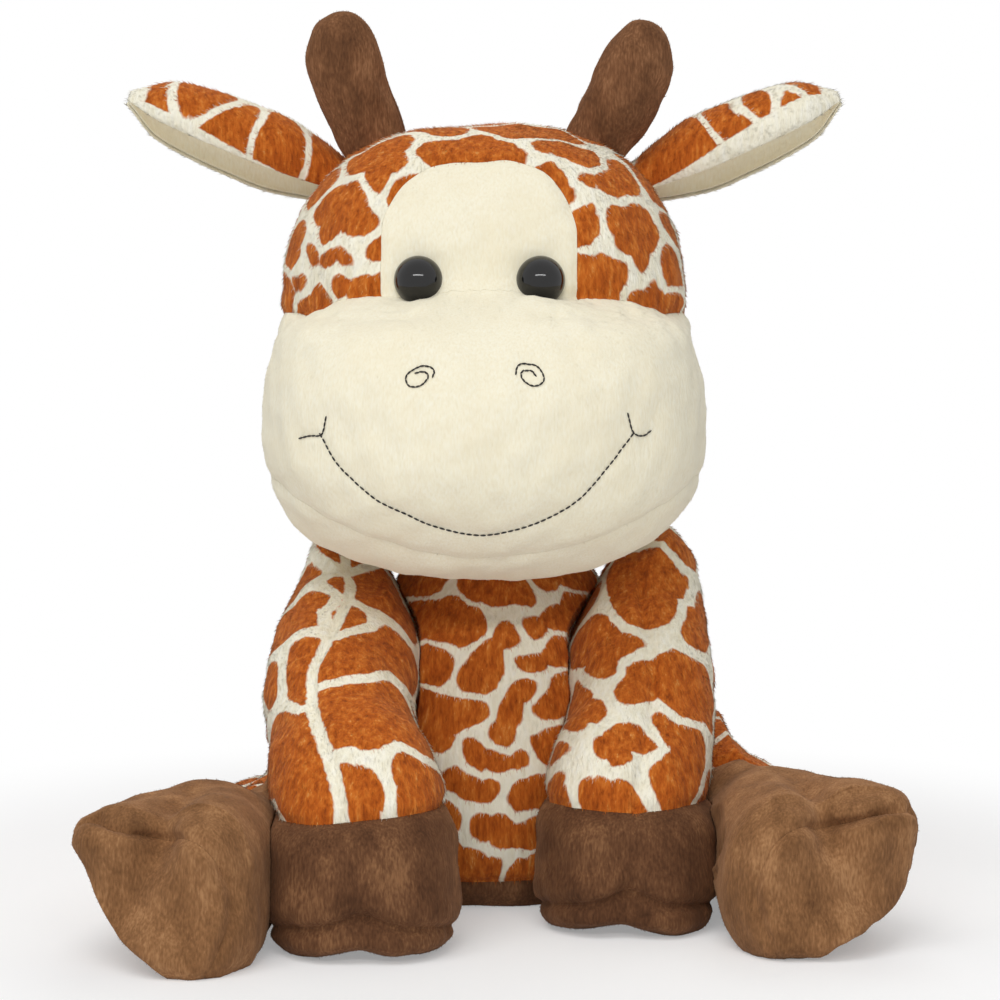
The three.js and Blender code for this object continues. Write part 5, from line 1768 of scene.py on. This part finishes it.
def addSpots(skin, given, seed, side=None, thin=0.35):
    # thin says by how much the lines are thinner than the crown's
    points = skin["points"]
    seeds, owners = seedsFromView(treeOf(skin), given)
    random = np.random.default_rng(seed)
    sample = random.choice(len(points), min(len(points), spots["sample"]), replace=False)
    if side is None:
        side = np.zeros(len(points))
    # the cloth is cut at its seams, so each half has its own spots
    sideTree = kdTreeOf(points)
    found = np.full(len(points), -10.0)
    halves = [side[sideTree.find(place)[1]] for place in seeds]
    for half in np.unique(side):
        own = [i for i, value in enumerate(halves) if value == half]
        part = sample[side[sample] == half]
        placed = fillSeeds(points[part], [seeds[i] for i in own], [owners[i] for i in own], seed + 7 * int(half))
        chosen = side == half
        found[chosen] = spotField(points[chosen], *placed) + thin
    skin["fields"]["spot"] = found


def place(name, panel, cloth, body, nodes, fill, pileShare=1.0):
    slotName, material = cloths[cloth]
    count = len(panel["points"])
    panel["fields"].setdefault("pile", np.ones(count))
    panel["fields"]["tone"] = np.full(count, 0.5)
    made = makeObject(name, panel, material)
    if pileShare > 0:
        growPile(made, body, slotName, material, pileShare)
    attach(made, body)
    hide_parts(*nodes)


def rimmed(skin, chosen):
    skin["fields"]["normal"] = normalsOf(skin)
    return withRim(panelOf(skin, chosen), seam["rim"], seam["gap"])


def placeLeg(skin, body, nodes, end, cloth):
    # the printed cover, and at the end that it is named for a hoof and its sole
    hoof = sideOf(skin, "hoofSeam")
    sole = sideOf(skin, "soleSeam") & hoof
    place(body + "_skin", rimmed(skin, ~hoof), "pattern", body, nodes, fill=0.8)
    place(end + "_hoof_skin", rimmed(skin, hoof & ~sole), cloth, body, [end + "_hoof"], fill=0.8)
    place(end + "_sole_skin", rimmed(skin, sole), cloth, body, [end + "_sole"], fill=0.8)


def fromSeams(skin, names):
    return np.min([np.abs(skin["fields"][name]) for name in names], axis=0)


placeCamera()
buildWorld()
buildFloor()
buildLamps()
lookGroup = pileGroup()
cloths = {
    "pattern": ("printed_plush", pileMaterial("patternPlush", patternColour, 0.4, 0.1, (255, 235, 200))),
    "cream": ("cream_plush", pileMaterial("creamPlush", creamColour, 0.14, 0.25, (255, 252, 242))),
    # the brown cloth's colour is darkened with painted shade, the pale cloth's is lightened with painted light
    "brown": ("brown_minky", pileMaterial("brownMinky", brownColour(brownWithPaintedShade), 0.25, 0.3, (170, 128, 98))),
    "horn": ("brown_minky", pileMaterial("hornMinky", brownColour(hornBrown), 0.25, 0.3, (180, 138, 106))),
    "paintedLight": ("brown_minky", pileMaterial("brownMinkyPaintedLight", brownColour(brownWithPaintedLight), 0.25, 0.35, (190, 150, 120))),
    "woven": ("pellet_cloth", wovenMaterial("pelletCloth", (196, 190, 176), (224, 219, 206), 1400.0)),
}
eyeGloss = eyeMaterial()
thread = threadMaterial()
washerPlastic = washerMaterial()
pileGrower = pileTree()
stitcher = stitchTree()
print("studio and materials made")

headFabric = buildHead()
addSpots(headFabric, crownSpots, 101, thin=0.6)
muzzleSide = sideOf(headFabric, "muzzle")
foreheadSide = sideOf(headFabric, "forehead") & ~muzzleSide
chinSide = sideOf(headFabric, "chin") & muzzleSide
crownSide = ~muzzleSide & ~foreheadSide
crownNodes = ["head_crown_cover", "head_stuffing"]
place("head_crown_skin", rimmed(headFabric, crownSide), "pattern", "head", crownNodes, fill=0.85)
place("forehead_skin", rimmed(headFabric, foreheadSide), "cream", "head", ["forehead_panel"], fill=0.85)
place("muzzle_skin", rimmed(headFabric, muzzleSide & ~chinSide), "cream", "head", ["muzzle_cover"], fill=0.85)
place("chin_skin", rimmed(headFabric, chinSide), "cream", "head", ["chin_panel"], fill=0.85)
print("head made")

headTargets, headFaces = headPlaces()
forelegs, hindLegs = {}, {}
for side in (-1, 1):
    name = sideNames[side]
    body = name + "_foreleg"
    skin = buildForeleg(side)
    blowUp(skin, fromSeams(skin, ("hoofSeam", "soleSeam", "seamGap")), padding["cap"])
    onFloor(skin)
    pivot = pivotOf(foreleg, side)
    heads = []
    for degrees in swing["shoulder"][side]:
        heads += [obstacle(turned(points, pivot, "x", -degrees), headFaces) for points in headTargets]
    keepClear(skin, heads)
    layNap(skin, skin["fields"]["alongAxis"])
    legSide = skin["fields"]["legSide"].round() if side < 0 else None
    addSpots(skin, forelegSpots[side], 200 + side, side=legSide, thin=-0.4 if side < 0 else -0.1)
    # the right leg has a cream band up its seam, on the left one the spots are only cut by it
    if side < 0:
        skin["fields"]["spot"] = np.minimum(skin["fields"]["spot"], skin["fields"]["seamGap"] - 1.9)
    # the front hooves and soles take the brown with painted shade
    placeLeg(skin, body, [body + "_cover", body + "_stuffing"], name + "_fore", "brown")
    forelegs[side] = skin
print("front legs made")

foreBars = {}
for side, skin in forelegs.items():
    pivot = pivotOf(foreleg, side)
    places = [turned(skin["points"], pivot, "x", degrees) for degrees in swing["shoulder"][side]]
    foreBars[side] = [obstacle(points, skin["faces"]) for points in places]
for side in (-1, 1):
    name = sideNames[side]
    skin = buildHindLeg(side)
    blowUp(skin, fromSeams(skin, ("hoofSeam", "soleSeam")), padding["cap"])
    flattened(skin, (side, 0, 0), hindSeams["flatX"], edge=0)
    onFloor(skin)
    keepClear(skin, foreBars[side][:3], skin["fields"]["core"])
    addSpots(skin, [], 300 + side)
    nodes = [name + "_thigh_cover", name + "_hind_stuffing"]
    # the hind hooves and soles take the brown with painted light
    placeLeg(skin, name + "_hind_leg", nodes, name + "_hind", "paintedLight")
    hindLegs[side] = skin
print("hind legs made")

bodyFabric = buildTorso()
blowUp(bodyFabric, fromSeams(bodyFabric, ["seat"]), padding["cap"])
onFloor(bodyFabric)
keepClear(bodyFabric, [obstacle(points, headFaces) for points in headTargets])
bars = []
for side in (-1, 1):
    bars += foreBars[side]
    for degrees in swing["hip"]:
        moved = turned(hindLegs[side]["points"], pivotOf(hindLeg, side), "z", side * degrees)
        bars.append(obstacle(moved, hindLegs[side]["faces"]))
keepClear(bodyFabric, bars, bodyFabric["fields"]["core"] * (1, 1, 0) + bodyFabric["points"] * (0, 0, 1))
addSpots(bodyFabric, torsoSpots, 401, thin=0.9)
seat = sideOf(bodyFabric, "seat")
place("torso_skin", rimmed(bodyFabric, ~seat), "pattern", "torso", ["torso_cover", "torso_stuffing"], fill=0.8)
place("seat_skin", rimmed(bodyFabric, seat), "brown", "torso", ["seat_panel"], fill=0.6)
print("torso made")

for side in (-1, 1):
    body = sideNames[side] + "_horn"
    place(body + "_skin", buildHorn(side), "horn", body, [body + "_cover", body + "_stuffing"], fill=0.75)
    body = sideNames[side] + "_ear"
    outer = earSheet(side, 0.0, 1.2)
    addSpots(outer, earSpots[side], 500 + side)
    # the lining's cream shows round the ear's edge and tip
    fields = outer["fields"]
    atRoot, atTip = ear["printEnd"][side]
    printEnd = atRoot - (atRoot - atTip) * fields["place"]
    margin = np.minimum(printEnd - fields["round"], fields["round"] + ear["printBack"])
    margin = np.minimum(margin, (0.93 - fields["place"]) * 60)
    fields["spot"] = np.minimum(fields["spot"], margin)
    place(body + "_outer_skin", outer, "pattern", body, [body + "_outer"], fill=0.3)
    lining = earSheet(side, 1.5, 2.7, ear["liningPuff"])
    place(body + "_lining_skin", lining, "cream", body, [body + "_lining"], fill=0.3)
print("horns and ears made")

neckFabric = buildNeck()
addSpots(neckFabric, [], 701)
place("neck_skin", neckFabric, "pattern", "neck", ["neck"], fill=0.9, pileShare=0.5)
bag = swollenLimb(pelletBag, pelletBag["floor"])
place("pellet_bag_skin", bag, "woven", "torso", ["pellet_bag"], fill=0.6, pileShare=0)
print("neck and pellet bag made")

tailFabric = swollenLimb(tail)
addSpots(tailFabric, [], 601)
place("tail_skin", tailFabric, "pattern", "tail", ["tail_cover"], fill=0.7)
place("tuft_skin", swollenLimb(tuft), "brown", "tail", ["tail_tuft"], fill=0.6)


def eyeSkin(side):
    # a dome turned about its own axis, with a shank behind it
    at, normal = eyeSite(side)
    centre = -eyes["sink"]
    bend = np.linspace(0, math.radians(101), 22)
    radii = list(eyes["radius"] * np.sin(bend)) + [2.2, 2.2, 2.0, 0.0]
    heights = list(centre + eyes["radius"] * np.cos(bend)) + [centre - 1.6, -10.6, -11.0, -11.0]
    around = np.linspace(0, 2 * math.pi, 64, endpoint=False)
    u = unit(np.cross(normal, (0, 0, 1)))
    v = np.cross(normal, u)
    rings = [
        at + normal * height + u * (np.cos(around) * radius)[:, None] + v * (np.sin(around) * radius)[:, None]
        for radius, height in zip(radii[1:-1], heights[1:-1])
    ]
    points = np.vstack([[at + normal * heights[0]], *rings, [at + normal * heights[-1]]])
    return outward({"points": points, "faces": closedGrid(len(rings), 64), "fields": {}})


for side in (-1, 1):
    made = makeObject(sideNames[side] + "_eye_dome", eyeSkin(side), eyeGloss)
    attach(made, "head")
    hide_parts(sideNames[side] + "_eye")
    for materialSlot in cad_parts[sideNames[side] + "_eye_washer"].material_slots:
        materialSlot.material = washerPlastic
print("eyes made")


def makeThread(name, path):
    # one thread of the face: a line of points, made into stitches
    line = bpy.data.meshes.new(name)
    line.from_pydata((path * mm).tolist(), [(i, i + 1) for i in range(len(path) - 1)], [])
    source = addObject(name + "_line", line)
    values = {"Pitch": stitch["pitch"][name] * mm, "Share": stitch["share"][name]}
    mesh = grownOn(source, stitcher, values | {"Radius": stitch["radius"] * mm, "Material": thread})
    bpy.data.objects.remove(source)
    mesh.materials.clear()
    mesh.materials.append(thread)
    mesh.polygons.foreach_set("material_index", np.zeros(len(mesh.polygons), np.int32))
    mesh.polygons.foreach_set("use_smooth", np.ones(len(mesh.polygons), bool))
    made = addObject(name + "_thread", mesh)
    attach(made, "head")


for name, path in threadPaths.items():
    makeThread(name, path)
print("face sewn")

for body, slotName in list(pileParts):
    finishPile(body, slotName)
print("pile grown")
